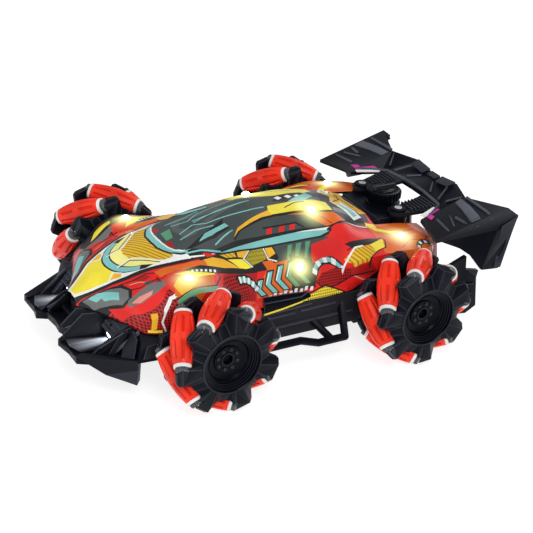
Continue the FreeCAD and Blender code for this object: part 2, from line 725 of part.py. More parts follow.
def make_shell():
    wall = size("shell_wall")
    outer = feature("shell_outer", lofted_hull(BODY))
    inner_stations = []
    for x, half in BODY[1:-1]:
        hollow = inset(half, wall)
        side, skirt = hollow[-1]
        hollow[-1] = (side, skirt - 4.0)
        inner_stations.append((x, hollow))
    tail_x, tail = BODY[-1]
    hollow = inset(tail, wall)
    side, skirt = hollow[-1]
    hollow[-1] = (side, skirt - 4.0)
    inner_stations.append((tail_x - 1.0, hollow))
    inner = feature("shell_inner", lofted_hull(inner_stations))
    rear_opening = box("rear_opening",
                       (size("tank_rear") - 4, -size("tank_half_width") - 1.5, 40),
                       (size("tank_front") + 1.5, size("tank_half_width") + 1.5, 95))
    lamp_holes = [rod(f"lamp_hole_{k}", (x, y, z - 7), (x, y, z + 5), LAMP_RADIUS + 0.05)
                  for k, (x, y, z) in enumerate(LAMPS)]
    tools = fuse("shell_tools", [inner, rear_opening, *lamp_holes])
    keep(cut("body_shell", outer, tools), "body_shell")


def make_lamps():
    """Domed light guides in the shell and the two headlamp lenses in the bumper."""
    lenses = []
    for k, (x, y, z) in enumerate(LAMPS):
        stem = rod(f"lamp_stem_{k}", (x, y, z - 4), (x, y, z), LAMP_RADIUS)
        dome = doc.addObject("Part::Sphere", f"lamp_dome_{k}")
        dome.Radius = LAMP_RADIUS
        dome.Placement = Placement(Vector(x, y, z - 0.4), Rotation())
        lenses.append(fuse(f"lamp_{k}", [stem, dome]))
    for hand in (1, -1):
        lenses.append(rod(f"headlamp_{hand + 1}", headlamp_point(hand, 0), headlamp_point(hand, 4.0),
                          HEADLAMP_RADIUS))
    keep(group("lamp_lenses", lenses), "lamp_lenses")


# ---------------------------------------------------------------- bumpers and side bars

def make_front_bumper():
    """Splitter lip with four prongs and a turned-down flank, a sloped back wall and pods."""
    front, half = size("tub_front"), size("tub_half_width")
    face = front + 0.05
    lip = {
        "root": (front, 0, 27), "nose": (144, 0, 29), "blade": (145.5, 9, 30), "notch": (141, 12, 27),
        "prong": (149.7, 17.9, 26.5), "scoop": (147.2, 28, 25.5), "tip": (148, 42.4, 26.6),
        "shelf": (117.4, 61.5, 27), "side": (front, 40, 24), "mid": (front, 20, 25),
    }
    lip_triangles = [
        ("root", "nose", "blade"), ("root", "blade", "notch"), ("root", "notch", "mid"),
        ("mid", "notch", "prong"), ("mid", "prong", "scoop"), ("mid", "scoop", "side"),
        ("side", "scoop", "tip"), ("side", "tip", "shelf"),
    ]
    lips = both_sides(lambda name: feature(name, thick_sheet(lip, lip_triangles, (0, 0, -4.5))), "lip")
    back = feature("bumper_back", lofted_hull((
        (133.0, ((0, 40.6), (2, 40.6), (3, 24.0))),
        (116.0, ((0, 40.8), (38, 40.8), (40, 18.0))),
        (face, ((0, 40.8), (46.5, 40.8), (48, 18.0))),
    )))
    nose = box("bumper_nose", (face, -9, 22), (136, 9, 33))
    fins = both_sides(lambda name: feature(name, thick_sheet(
        {"a": (109, 44, 39), "b": (121, 41.5, 36), "c": (137, 40.5, 24), "d": (109, 44, 20)},
        [("a", "d", "c"), ("a", "c", "b")], (0, 2.4, 0))), "fin")
    pieces = [*lips, back, nose, *fins, *both_sides(make_flank, "flank"), *both_sides(make_pod, "pod")]
    scoops = both_sides(lambda name: box(name, (118.0, 20, 25), (150, 39, 39.4)), "scoop")
    seats = [rod(f"lamp_seat_{hand + 1}", headlamp_point(hand, 0), headlamp_point(hand, 4.2),
                 HEADLAMP_RADIUS + 0.05) for hand in (1, -1)]
    tub = box("tub_clear", (front - 22, -half, 0), (front, half, 60))
    tools = fuse("bumper_tools", [*scoops, *seats, tub])
    keep(cut("front_bumper", fuse("bumper_solid", pieces), tools), "front_bumper")


def make_flank(name):
    """Outer face of the splitter, folded down from its shelf to the heel."""
    points = {
        "tip": (148, 42.4, 26.6), "shelf": (117.4, 61.5, 27), "crease": (117.6, 62.8, 21.5),
        "heel": (117.6, 62, 10.6), "pod": (134, 53, 17),
    }
    triangles = [("tip", "pod", "crease"), ("tip", "crease", "shelf"), ("pod", "heel", "crease")]
    return feature(name, thick_sheet(points, triangles, (-4.0, -4.5, 0)))


def make_pod(name):
    """Side block that carries the bumper round to the front wheel."""
    points = {
        "a": (100, 47, 39.6), "b": (110, 47, 39.6), "c": (113.5, 56, 38.2), "d": (114.5, 61.5, 36.8),
        "e": (100, 61.5, 36),
    }
    triangles = [("a", "b", "c"), ("a", "c", "d"), ("a", "d", "e")]
    return feature(name, thick_sheet(points, triangles, (3, 0, -11.5)))


def make_rear_bumper():
    """Diffuser box behind the tub, with an upright jagged plate at each side."""
    rear = size("tub_rear")
    core = feature("diffuser", lofted_hull((
        (rear - 0.0, ((0, 44), (48, 44), (52, 14))),
        (rear - 8.0, ((0, 40), (62, 38), (66, 10))),
        (rear - 24.0, ((0, 26), (60, 24), (64, 12))),
    )))
    plates = both_sides(make_side_plate, "side_plate")
    keep(fuse("rear_bumper", [core, *plates]), "rear_bumper")


def make_side_plate(name):
    points = {
        "a": (-105, 64, 46), "b": (-118, 66, 53), "c": (-119, 66, 43), "d": (-129, 67, 41),
        "e": (-128, 67, 36), "f": (-131, 67, 14), "g": (-124, 66, 9), "k": (-106, 64, 10),
    }
    triangles = [("a", "c", "b"), ("a", "k", "c"), ("k", "g", "c"), ("g", "f", "c"),
                 ("f", "e", "c"), ("e", "d", "c")]
    return feature(name, thick_sheet(points, triangles, (0, -3, 0)))


def make_side_bars():
    """Cranked step bar on three legs at each side, flush with the sill."""
    side, low, high = size("bar_side"), size("bar_height"), size("bar_height") + 4.6
    foot_y = size("sill_side") - 4
    run = ((37, side, high), (9.5, side, high), (-4, side, low), (-24, side, low))
    legs = (((37, side, high), (37, foot_y, 28)), ((-24, side, low), (-28.4, foot_y, 36)),
            ((-14, side, low), (-4.5, foot_y, 27.5)))
    radius = "sizes.bar_radius"
    bars = []
    for hand in (1, -1):
        def at(x, y, z):
            return (x, hand * y, z)
        pieces = []
        for k, (start, end) in enumerate([*zip(run, run[1:]), *legs]):
            pieces.append(rod(f"bar_{hand + 1}_{k}", at(*start), at(*end), radius))
        for k, end in enumerate(run):
            ball = doc.addObject("Part::Sphere", f"bar_bend_{hand + 1}_{k}")
            bind(ball, Radius=radius)
            ball.Placement = Placement(Vector(*at(*end)), Rotation())
            pieces.append(ball)
        low_y, high_y = sorted((hand * size("tub_half_width"), hand * size("sill_side")))
        trim = box(f"bar_trim_{hand + 1}", (-60, low_y, 0), (60, high_y, 60))
        bars.append(cut(f"side_bar_{hand + 1}", fuse(f"bar_frame_{hand + 1}", pieces), trim))
    keep(group("side_bars", bars), "side_bars")


# ---------------------------------------------------------------- wing and spray module

def make_wing_half(name):
    plane = {
        "tip": (-87, 70.4, 72.5), "shoulder": (-95, 42, 73.2), "arm": (-115.3, 33.8, 73.9),
        "root": (-118, 10.2, 75.2), "axis": (-118, 0, 75.4), "tail_axis": (-137.3, 0, 81.6),
        "tail": (-137.3, 5.6, 81.6), "step": (-138, 22.2, 83.6), "notch": (-129.6, 42.8, 83.8),
        "horn": (-141.7, 72.4, 86.8), "corner": (-149.6, 74.3, 81), "fold": (-136, 74, 75),
    }
    triangles = [
        ("tip", "notch", "shoulder"), ("tip", "horn", "notch"), ("tip", "fold", "horn"),
        ("fold", "corner", "horn"), ("shoulder", "notch", "arm"), ("arm", "notch", "step"),
        ("arm", "step", "tail"), ("arm", "tail", "root"), ("root", "tail", "tail_axis"),
        ("root", "tail_axis", "axis"),
    ]
    thick = size("wing_thick")
    main = thick_sheet(plane, triangles, (0, 0, -thick))
    plate = {
        "tip": (-88.5, 69.2, 71.6), "fold": (-136, 72.6, 74.5), "corner": (-148.5, 73.6, 79.5),
        "heel": (-138, 80, 70), "toe": (-131.5, 82.5, 49.5), "foot": (-119, 81.3, 50),
        "knee": (-113, 76.5, 58.8), "shin": (-105, 73, 64.5),
    }
    walls = [
        ("tip", "shin", "fold"), ("shin", "knee", "fold"), ("knee", "foot", "fold"),
        ("foot", "heel", "fold"), ("foot", "toe", "heel"), ("fold", "heel", "corner"),
    ]
    end_plate = thick_sheet(plate, walls, (0, -thick, 0))
    arm = {
        "a": (-86, 17, 72.5), "b": (-86, 26.6, 72.5), "c": (-97, 29, 72.5), "d": (-116.5, 33.6, 74.6),
        "e": (-119, 12, 75.4), "f": (-103, 14.5, 72.5),
    }
    ribs = [("a", "c", "b"), ("a", "f", "c"), ("f", "d", "c"), ("f", "e", "d")]
    bracket = thick_sheet(arm, ribs, (0, 0, -2.4))
    return feature(name, main.fuse([end_plate, bracket]))


def make_wing():
    halves = both_sides(make_wing_half, "wing_half")
    x, y = size("boss_along"), size("boss_across")
    holes = [rod(f"wing_hole_{hand + 1}", (x, hand * y, 60), (x, hand * y, 80), "sizes.screw_radius")
             for hand in (1, -1)]
    keep(cut("rear_wing", fuse("wing_solid", halves), fuse("wing_holes", holes)), "rear_wing")


def make_tank():
    """Hollow water tank of the spray unit, its filler neck, wing bosses and mist nozzle."""
    front, rear, half = size("tank_front"), size("tank_rear"), size("tank_half_width")
    base, top, wall = size("tank_base"), size("tank_top"), size("wall")
    outer = feature("tank_outer", lofted_hull((
        (front, ((0, top - 4), (half - 8, top - 4), (half - 6, base))),
        (front - 6, ((0, top), (half - 4, top), (half, base))),
        (rear + 5, ((0, top), (half - 4, top), (half, base))),
        (rear, ((0, top - 3), (half - 8, top - 3), (half - 6, base))),
    )))
    x = size("filler_place")
    neck = rod("neck", (x, 0, top - 1), (x, 0, size("neck_top")), "sizes.neck_radius")
    boss_x, boss_y = size("boss_along"), size("boss_across")
    bosses = [rod(f"wing_boss_{hand + 1}", (boss_x, hand * boss_y, top - 8),
                  (boss_x, hand * boss_y, size("boss_top") + 0.1), "sizes.boss_radius")
              for hand in (1, -1)]
    room = box("tank_room", (rear + 5 + wall, -half + 6 + wall, base + wall),
               (front - 6 - wall, half - 6 - wall, top - wall))
    bore = rod("neck_bore", (x, 0, top - wall - 2), (x, 0, size("neck_top") + 1), "sizes.neck_bore")
    screw_holes = [rod(f"boss_hole_{hand + 1}", (boss_x, hand * boss_y, top - 3.6),
                       (boss_x, hand * boss_y, size("boss_top") + 5), "sizes.screw_radius")
                   for hand in (1, -1)]
    nozzle_z = (base + top) / 2
    outlet = rod("outlet", (rear + 4, 0, nozzle_z), (rear - 1, 0, nozzle_z), 2.5)
    tools = fuse("tank_tools", [room, bore, outlet, *screw_holes])
    tank = cut("tank", fuse("tank_solid", [outer, neck, *bosses]), tools)
    tube = rod("nozzle_tube", (rear + 5, 0, nozzle_z), (rear - 7, 0, nozzle_z), 2.5)
    nozzle = cut("mist_nozzle", tube, rod("nozzle_bore", (rear + 6, 0, nozzle_z),
                                          (rear - 8, 0, nozzle_z), 1.2))
    keep(group("spray_tank", [tank, nozzle]), "spray_tank")


def make_cap():
    """Quarter-turn filler cap over the neck, with finger lugs."""
    x, low, top = size("filler_place"), 73.0, size("cap_top")
    skirt = rod("cap_skirt", (x, 0, low), (x, 0, top - 1.5), "sizes.cap_radius")
    crown = rod("cap_crown", (x, 0, top - 1.5), (x, 0, top), "sizes.cap_radius - 1.5")
    bar = box("cap_bar", (x - 9, -1.6, top - 1), (x + 9, 1.6, top + 1.8))
    room = rod("cap_room", (x, 0, low - 1), (x, 0, size("neck_top") + 0.4),
               "sizes.neck_radius + 0.35")
    keep(cut("tank_cap", fuse("cap_solid", [skirt, crown, bar]), room), "tank_cap")


# ---------------------------------------------------------------- build

motor_places = []
for tag, axle_x, side, first in WHEELS:
    for k in range(int(size("roller_count"))):
        make_roller(f"roller_{tag}_{k + 1}", roller_pose(axle_x, side, first + k * PITCH))
    make_outer_star(tag, axle_x, side, first)
    make_inner_plate(tag, axle_x, side, first)
    motor_places.append((make_drive(tag, axle_x, side), side))
motors = [make_motor(f"motor_{k}", x, hand) for k, (x, hand) in enumerate(motor_places)]
keep(group("motors", motors), "motors")
make_tray(motor_places)
make_deck()
make_electrics()
make_screws()
make_shell()
make_lamps()
make_front_bumper()
make_rear_bumper()
make_side_bars()
make_wing()
make_tank()
make_cap()
doc.recompute()

for piece in doc.Objects:
    if "Invalid" in piece.State or "Error" in piece.State:
        raise SystemExit(f"{piece.Name} did not build: {piece.State}")
for piece in SUB_PARTS:
    if piece.Shape.isNull() or not piece.Shape.isValid():
        raise SystemExit(f"{piece.Label} has no valid shape")

os.makedirs("parts", exist_ok=True)
for piece in SUB_PARTS:
    piece.Shape.exportStep(f"parts/{piece.Label}.step")
    print(f"{piece.Label}: {len(piece.Shape.Solids)} solids, {piece.Shape.Volume:.0f} mm3")
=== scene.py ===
import json
import math
from functools import partial

import bmesh
import bpy
import numpy as np
from mathutils import Matrix, Vector


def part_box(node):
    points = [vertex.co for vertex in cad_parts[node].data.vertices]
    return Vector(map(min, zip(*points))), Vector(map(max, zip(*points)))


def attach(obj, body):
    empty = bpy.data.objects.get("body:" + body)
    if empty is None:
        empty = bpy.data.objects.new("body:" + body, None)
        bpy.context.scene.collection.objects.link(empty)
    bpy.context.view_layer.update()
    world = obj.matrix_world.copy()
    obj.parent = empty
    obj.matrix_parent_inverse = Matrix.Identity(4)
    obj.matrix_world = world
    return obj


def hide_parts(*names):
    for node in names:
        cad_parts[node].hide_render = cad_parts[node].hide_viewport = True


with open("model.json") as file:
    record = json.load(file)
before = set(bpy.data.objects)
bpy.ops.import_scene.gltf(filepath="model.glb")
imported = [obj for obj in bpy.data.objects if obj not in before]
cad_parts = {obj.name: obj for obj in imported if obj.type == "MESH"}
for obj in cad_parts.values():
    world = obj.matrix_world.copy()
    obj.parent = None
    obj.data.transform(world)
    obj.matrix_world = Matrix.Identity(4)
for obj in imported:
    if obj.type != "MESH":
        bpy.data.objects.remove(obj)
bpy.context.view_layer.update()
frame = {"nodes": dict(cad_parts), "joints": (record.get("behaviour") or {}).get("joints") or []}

# Lengths below are in millimetres and angles in degrees; MM turns millimetres into metres.
MM = 0.001
UP = (0, 0, 1)
JOINTS = {joint["name"]: joint for joint in frame["joints"]}
WHEEL_TAGS = ("fl", "rl", "fr", "rr")
ROLLERS = 7


# ---------------------------------------------------------------- general helpers

def link(name, mesh):
    """New object in the scene."""
    piece = bpy.data.objects.new(name, mesh)
    bpy.context.scene.collection.objects.link(piece)
    return piece


def mesh_from(name, points, faces):
    mesh = bpy.data.meshes.new(name)
    mesh.from_pydata([tuple(c * MM for c in p) for p in points], [], faces)
    mesh.update()
    return mesh


def coloured(mesh, *names):
    """Fills the mesh's material slots in order."""
    for name in names:
        mesh.materials.append(MATERIALS[name])


def cleaned(mesh):
    """Joins corners that meet and turns the normals outwards."""
    bm = bmesh.new()
    bm.from_mesh(mesh)
    bmesh.ops.remove_doubles(bm, verts=bm.verts, dist=1e-6)
    bmesh.ops.recalc_face_normals(bm, faces=bm.faces)
    bm.to_mesh(mesh)
    bm.free()


def smoothed(mesh, sharp_angle):
    """Smooth shading that breaks at edges sharper than the angle."""
    mesh.shade_smooth()
    mesh.set_sharp_from_angle(angle=math.radians(sharp_angle))


def finish_mesh(mesh, sharp_angle):
    cleaned(mesh)
    smoothed(mesh, sharp_angle)


def apply_modifiers(piece):
    graph = bpy.context.evaluated_depsgraph_get()
    baked = bpy.data.meshes.new_from_object(piece.evaluated_get(graph))
    old = piece.data
    piece.modifiers.clear()
    piece.data = baked
    bpy.data.meshes.remove(old)


def rounded(piece, width, angle, slot):
    """Rounds the edges sharper than the angle; the new faces take a material slot."""
    modifier = piece.modifiers.new("round", "BEVEL")
    modifier.width = width * MM
    modifier.segments = 2
    modifier.limit_method = "ANGLE"
    modifier.angle_limit = math.radians(angle)
    modifier.material = slot
    apply_modifiers(piece)


def attached(piece, node, body, slot):
    """Lets a piece ride on a body, in place of a CAD node if one is named; the slot argument is not used."""
    if node:
        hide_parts(node)
    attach(piece, body)
    return piece


def join_meshes(name, meshes):
    """One mesh out of several; each entry is (mesh, matrix, material index)."""
    bm = bmesh.new()
    for mesh, matrix, index in meshes:
        part = bmesh.new()
        part.from_mesh(mesh)
        part.transform(matrix)
        for face in part.faces:
            face.material_index = index
        holder = bpy.data.meshes.new("holder")
        part.to_mesh(holder)
        part.free()
        bm.from_mesh(holder)
        bpy.data.meshes.remove(holder)
    joined = bpy.data.meshes.new(name)
    bm.to_mesh(joined)
    bm.free()
    return joined


def ring_faces(steps, count, closed=True, base=0):
    """Quads between the copies of a profile of count points set around an axis."""
    faces = []
    for k in range(steps):
        a, b = base + k * count, base + (k + 1) % steps * count
        faces += [(a + i, b + i, b + (i + 1) % count, a + (i + 1) % count)
                  for i in range(count if closed else count - 1)]
    return faces


def turned(profile, steps, closed=True):
    """Points and faces of a surface of revolution about Z, from (radius, height) points."""
    points = []
    for k in range(steps):
        turn = math.tau * k / steps
        points += [(r * math.cos(turn), r * math.sin(turn), h) for r, h in profile]
    return points, ring_faces(steps, len(profile), closed)


def pose_matrix(position, axis):
    """Matrix that carries Z to the axis and the origin to the position."""
    turn = Vector(UP).rotation_difference(Vector(axis)).to_matrix().to_4x4()
    return Matrix.Translation(Vector(position)) @ turn


# ---------------------------------------------------------------- materials

MATERIALS = {}
# Lamps that shine through the shell, in millimetres.
LAMPS = ((77, 45, 66.4), (77, -45, 66.4), (-78, 45, 66.0), (-78, -45, 66.0),
         (0, 47, 59.6), (0, -47, 59.6), (5, -15.8, 83.5), (-25, 17, 81.2))


class Nodes:
    """Short ways to build the node tree of a new entry in MATERIALS."""

    def __init__(self, name, constants):
        MATERIALS[name] = self.material = bpy.data.materials.new(name)
        self.material.use_nodes = True
        self.tree = self.material.node_tree
        self.shader = self.tree.nodes["Principled BSDF"]
        self.place = self.tree.nodes.new("ShaderNodeTexCoord").outputs["Object"]
        for socket, value in constants.items():
            self.shader.inputs[socket].default_value = value

    def new(self, kind, **settings):
        node = self.tree.nodes.new(kind)
        for key, value in settings.items():
            setattr(node, key, value)
        return node

    def feed(self, socket, value):
        if value is None:
            return
        if isinstance(value, (int, float, tuple)):
            socket.default_value = value
        else:
            self.tree.links.new(value, socket)

    def shade(self, name, output):
        """Feeds one input of the shader."""
        self.feed(self.shader.inputs[name], output)

    def math(self, operation, *values):
        node = self.new("ShaderNodeMath", operation=operation)
        for socket, value in zip(node.inputs, values):
            self.feed(socket, value)
        return node.outputs[0]

    def vector(self, operation, *values):
        node = self.new("ShaderNodeVectorMath", operation=operation)
        for socket, value in zip(node.inputs, values):
            self.feed(socket, value)
        return node

    def noise(self, scale, detail=3.0, vector=None):
        node = self.new("ShaderNodeTexNoise")
        self.feed(node.inputs["Scale"], scale)
        self.feed(node.inputs["Detail"], detail)
        self.feed(node.inputs["Vector"], vector or self.place)
        return node.outputs["Fac"]

    def remap(self, value, low, high, to_low, to_high):
        node = self.new("ShaderNodeMapRange")
        for socket, number in zip(node.inputs, (value, low, high, to_low, to_high)):
            self.feed(socket, number)
        return node.outputs["Result"]

    def clouds(self, to_low, to_high, scale, detail=3.0):
        """Noise stretched over a range of values."""
        return self.remap(self.noise(scale, detail), 0.3, 0.7, to_low, to_high)

    def mottled(self, color, cloud):
        """The colour made lighter and darker by a cloud."""
        node = self.new("ShaderNodeVectorMath", operation="SCALE")
        self.feed(node.inputs[0], color)
        self.feed(node.inputs["Scale"], cloud)
        return node.outputs[0]

    def mix(self, factor, a, b):
        node = self.new("ShaderNodeMix", data_type="RGBA")
        self.feed(node.inputs["Factor"], factor)
        for socket, value in ((node.inputs[6], a), (node.inputs[7], b)):
            self.feed(socket, (*value, 1.0) if isinstance(value, tuple) else value)
        return node.outputs[2]

    def bump(self, height, strength, distance):
        node = self.new("ShaderNodeBump")
        self.feed(node.inputs["Strength"], strength)
        self.feed(node.inputs["Distance"], distance)
        self.feed(node.inputs["Height"], height)
        self.shade("Normal", node.outputs["Normal"])


def lamp_glow(nodes):
    """Light of the nearest lamp seen through the printed shell: a soft halo."""
    total = None
    for lamp in LAMPS:
        away = nodes.vector("DISTANCE", nodes.place, tuple(c * MM for c in lamp))
        halo = nodes.math("POWER", nodes.remap(away.outputs["Value"], 0.002, 0.017, 1.0, 0.0), 2.6)
        total = halo if total is None else nodes.math("MAXIMUM", total, halo)
    return total


def paint_material(name, color, pattern=None, second=None):
    """Printed and lacquered shell; pattern(nodes) gives the share of the second colour."""
    nodes = Nodes(name, {"Emission Color": (0.95, 1.0, 0.42, 1.0), "Specular IOR Level": 0.3,
                         "Coat Weight": 0.12, "Coat Roughness": 0.12})
    tint = nodes.mottled(color, nodes.clouds(0.86, 1.08, 55.0))
    if pattern is not None:
        tint = nodes.mix(pattern(nodes), tint, second)
    glow = lamp_glow(nodes)
    nodes.shade("Base Color", nodes.mix(nodes.math("MULTIPLY", glow, 0.75), tint, (0.95, 1.0, 0.45)))
    nodes.shade("Emission Strength", nodes.math("MULTIPLY", glow, 0.9))
    nodes.shade("Roughness", nodes.clouds(0.35, 0.47, 900.0, 2.0))
    nodes.bump(nodes.noise(260.0, 2.0), 0.12, 0.0004)


def plastic_material(name, color, roughness, grain=700.0, depth=0.15, edge_sheen=0.0, metallic=0.0, shine=0.3):
    """Moulded plastic: fine grain, faint mottling, and sharp edges made paler as a painted highlight."""
    nodes = Nodes(name, {"Metallic": metallic, "Specular IOR Level": shine})
    tint = nodes.mottled(color, nodes.clouds(0.82, 1.2, 38.0, 4.0))
    if edge_sheen:
        # Sharp edges are lightened towards grey: a painted highlight.
        edges = nodes.new("ShaderNodeNewGeometry").outputs["Pointiness"]
        tint = nodes.mix(nodes.remap(edges, 0.53, 0.62, 0.0, edge_sheen), tint, (0.32, 0.33, 0.36))
    nodes.shade("Base Color", tint)
    nodes.shade("Roughness", nodes.clouds(roughness - 0.06, roughness + 0.08, 210.0))
    nodes.bump(nodes.noise(grain * 4, 2.0), depth, 0.0002)


def lamp_material(name, color, strength):
    nodes = Nodes(name, {"Base Color": (0.95, 0.97, 0.9, 1.0), "Emission Color": (*color, 1.0),
                         "Roughness": 0.15})
    nodes.shade("Emission Strength", nodes.clouds(0.9 * strength, 1.1 * strength, 900.0))


def scoop_material(name):
    """Black scoop floor with the headlamp's beam: a flare that widens and fades ahead of the lens."""
    nodes = Nodes(name, {"Emission Color": (0.85, 0.92, 1.0, 1.0), "Roughness": 0.4,
                         "Specular IOR Level": 0.15})
    spot = nodes.new("ShaderNodeSeparateXYZ")
    nodes.feed(spot.inputs[0], nodes.place)
    ahead = nodes.math("SUBTRACT", spot.outputs["X"], 0.117)
    off_lamp = nodes.math("SUBTRACT", nodes.math("ABSOLUTE", spot.outputs["Y"]), 0.0295)
    width = nodes.math("MULTIPLY_ADD", ahead, 0.20, 0.0018)
    cone = nodes.remap(nodes.math("DIVIDE", nodes.math("ABSOLUTE", off_lamp), width), 0.35, 1.25, 1.0, 0.0)
    fading = nodes.remap(ahead, 0.003, 0.028, 1.0, 0.16)
    stretched = nodes.vector("MULTIPLY", nodes.place, (0.3, 5.0, 1.0)).outputs[0]
    streak = nodes.remap(nodes.noise(60.0, 2.0, stretched), 0.35, 0.65, 0.55, 1.1)
    beam = nodes.math("MULTIPLY", nodes.math("MULTIPLY", cone, fading), streak)
    nodes.shade("Base Color", nodes.mix(beam, (0.006, 0.007, 0.012), (0.5, 0.53, 0.6)))
    nodes.shade("Emission Strength", nodes.math("MULTIPLY", nodes.math("POWER", beam, 1.5), 0.7))


def dots(pitch, radius):
    """Rows of printed dots, spaced along X and Z."""
    def pattern(nodes):
        step = 1.0 / (pitch * MM)
        grid = nodes.vector("MULTIPLY", nodes.place, (step, 0.0, step))
        cells = nodes.new("ShaderNodeTexVoronoi", feature="F1")
        nodes.feed(cells.inputs["Randomness"], 0.0)
        nodes.feed(cells.inputs["Scale"], 1.0)
        nodes.feed(cells.inputs["Vector"], grid.outputs[0])
        return nodes.remap(cells.outputs["Distance"], radius, radius - 0.12, 0.0, 1.0)
    return pattern


def stripes(direction, pitch, share):
    """Printed hatch lines square to a direction."""
    def pattern(nodes):
        along = nodes.vector("DOT_PRODUCT", nodes.place, tuple(c / (pitch * MM) for c in direction))
        wave = nodes.math("FRACT", along.outputs["Value"])
        away = nodes.math("ABSOLUTE", nodes.math("SUBTRACT", wave, 0.5))
        return nodes.remap(away, share / 2, share / 2 - 0.1, 0.0, 1.0)
    return pattern


PAINTS = {
    "yellow": ((0.93, 0.78, 0.045),),
    "lemon": ((0.95, 0.88, 0.28),),
    "gold": ((0.80, 0.50, 0.02), stripes((0.9, 0.45, 0.0), 2.3, 0.4), (0.33, 0.17, 0.01)),
    "amber": ((0.90, 0.48, 0.02),),
    "olive": ((0.42, 0.34, 0.02), dots(1.5, 0.3), (0.16, 0.12, 0.01)),
    "orange": ((0.74, 0.14, 0.012),),
    "red": ((0.78, 0.015, 0.012),),
    "crimson": ((0.42, 0.008, 0.01),),
    "red_dots": ((0.50, 0.012, 0.012), dots(1.6, 0.40), (0.03, 0.0, 0.0)),
    "yellow_mesh": ((0.85, 0.72, 0.04), dots(1.6, 0.34), (0.05, 0.035, 0.0)),
    "teal": ((0.22, 0.56, 0.54),),
    "green": ((0.10, 0.34, 0.19),),
    "white": ((0.86, 0.88, 0.86),),
    "black": ((0.012, 0.012, 0.014),),
    "smoke": ((0.055, 0.072, 0.070),),
    "smoke_light": ((0.10, 0.115, 0.11),),
    "grey": ((0.16, 0.17, 0.165),),
    "magenta": ((0.55, 0.02, 0.30),),
    "pink": ((0.85, 0.30, 0.24),),
}
# Dark plastics: colour, roughness and how much their sharp edges are lightened as a painted highlight.
BLACKS = {
    "shell_inside": ((0.008, 0.008, 0.010), 0.6, 0.0),
    "black_satin": ((0.0035, 0.0042, 0.0085), 0.36, 0.10),
    "black_gloss": ((0.0022, 0.0026, 0.0055), 0.22, 0.0),
    "black_deep": ((0.004, 0.004, 0.007), 0.5, 0.1),
    "lobe_face": ((0.0058, 0.0068, 0.0115), 0.34, 0.10),
    "facet_grey": ((0.022, 0.025, 0.036), 0.38, 0.10),
    "facet_light": ((0.10, 0.108, 0.135), 0.4, 0.0),
    "edge_highlight_grey": ((0.055, 0.06, 0.078), 0.4, 0.0),
}
# The second material of each pair is the paler grey that rounded edges take: a painted highlight.
SATIN, GLOSS = ("black_satin", "edge_highlight_grey"), ("black_gloss", "edge_highlight_grey")
FACET, PALE_FACET = ("facet_grey", "edge_highlight_grey"), ("facet_light", "edge_highlight_grey")


def make_materials():
    for name, look in PAINTS.items():
        paint_material("paint_" + name, *look)
    for name, (color, roughness, edge_sheen) in BLACKS.items():
        plastic_material(name, color, roughness, edge_sheen=edge_sheen, shine=0.07)
    plastic_material("roller_red", (0.84, 0.035, 0.012), 0.34, grain=300.0, depth=0.25, shine=0.24)
    plastic_material("roller_groove_shade", (0.60, 0.018, 0.008), 0.45, shine=0.15)
    plastic_material("roller_white", (0.80, 0.80, 0.79), 0.5)
    plastic_material("collar_dark", (0.05, 0.052, 0.058), 0.35, edge_sheen=0.5)
    plastic_material("steel", (0.55, 0.56, 0.58), 0.3, metallic=1.0, shine=0.5)
    plastic_material("brass", (0.62, 0.44, 0.16), 0.35, metallic=1.0, shine=0.5)
    plastic_material("gear_white", (0.78, 0.78, 0.74), 0.5)
    plastic_material("board_green", (0.02, 0.17, 0.06), 0.4)
    plastic_material("battery_blue", (0.03, 0.12, 0.45), 0.3)
    plastic_material("switch_grey", (0.35, 0.35, 0.37), 0.5)
    lamp_material("lamp_lit", (1.0, 1.0, 0.72), 9.0)
    scoop_material("scoop_lit")
    lamp_material("lamp_rim", (1.0, 0.95, 0.5), 1.2)
    lamp_material("headlamp_lit", (0.92, 0.96, 1.0), 7.0)


# ---------------------------------------------------------------- body shell

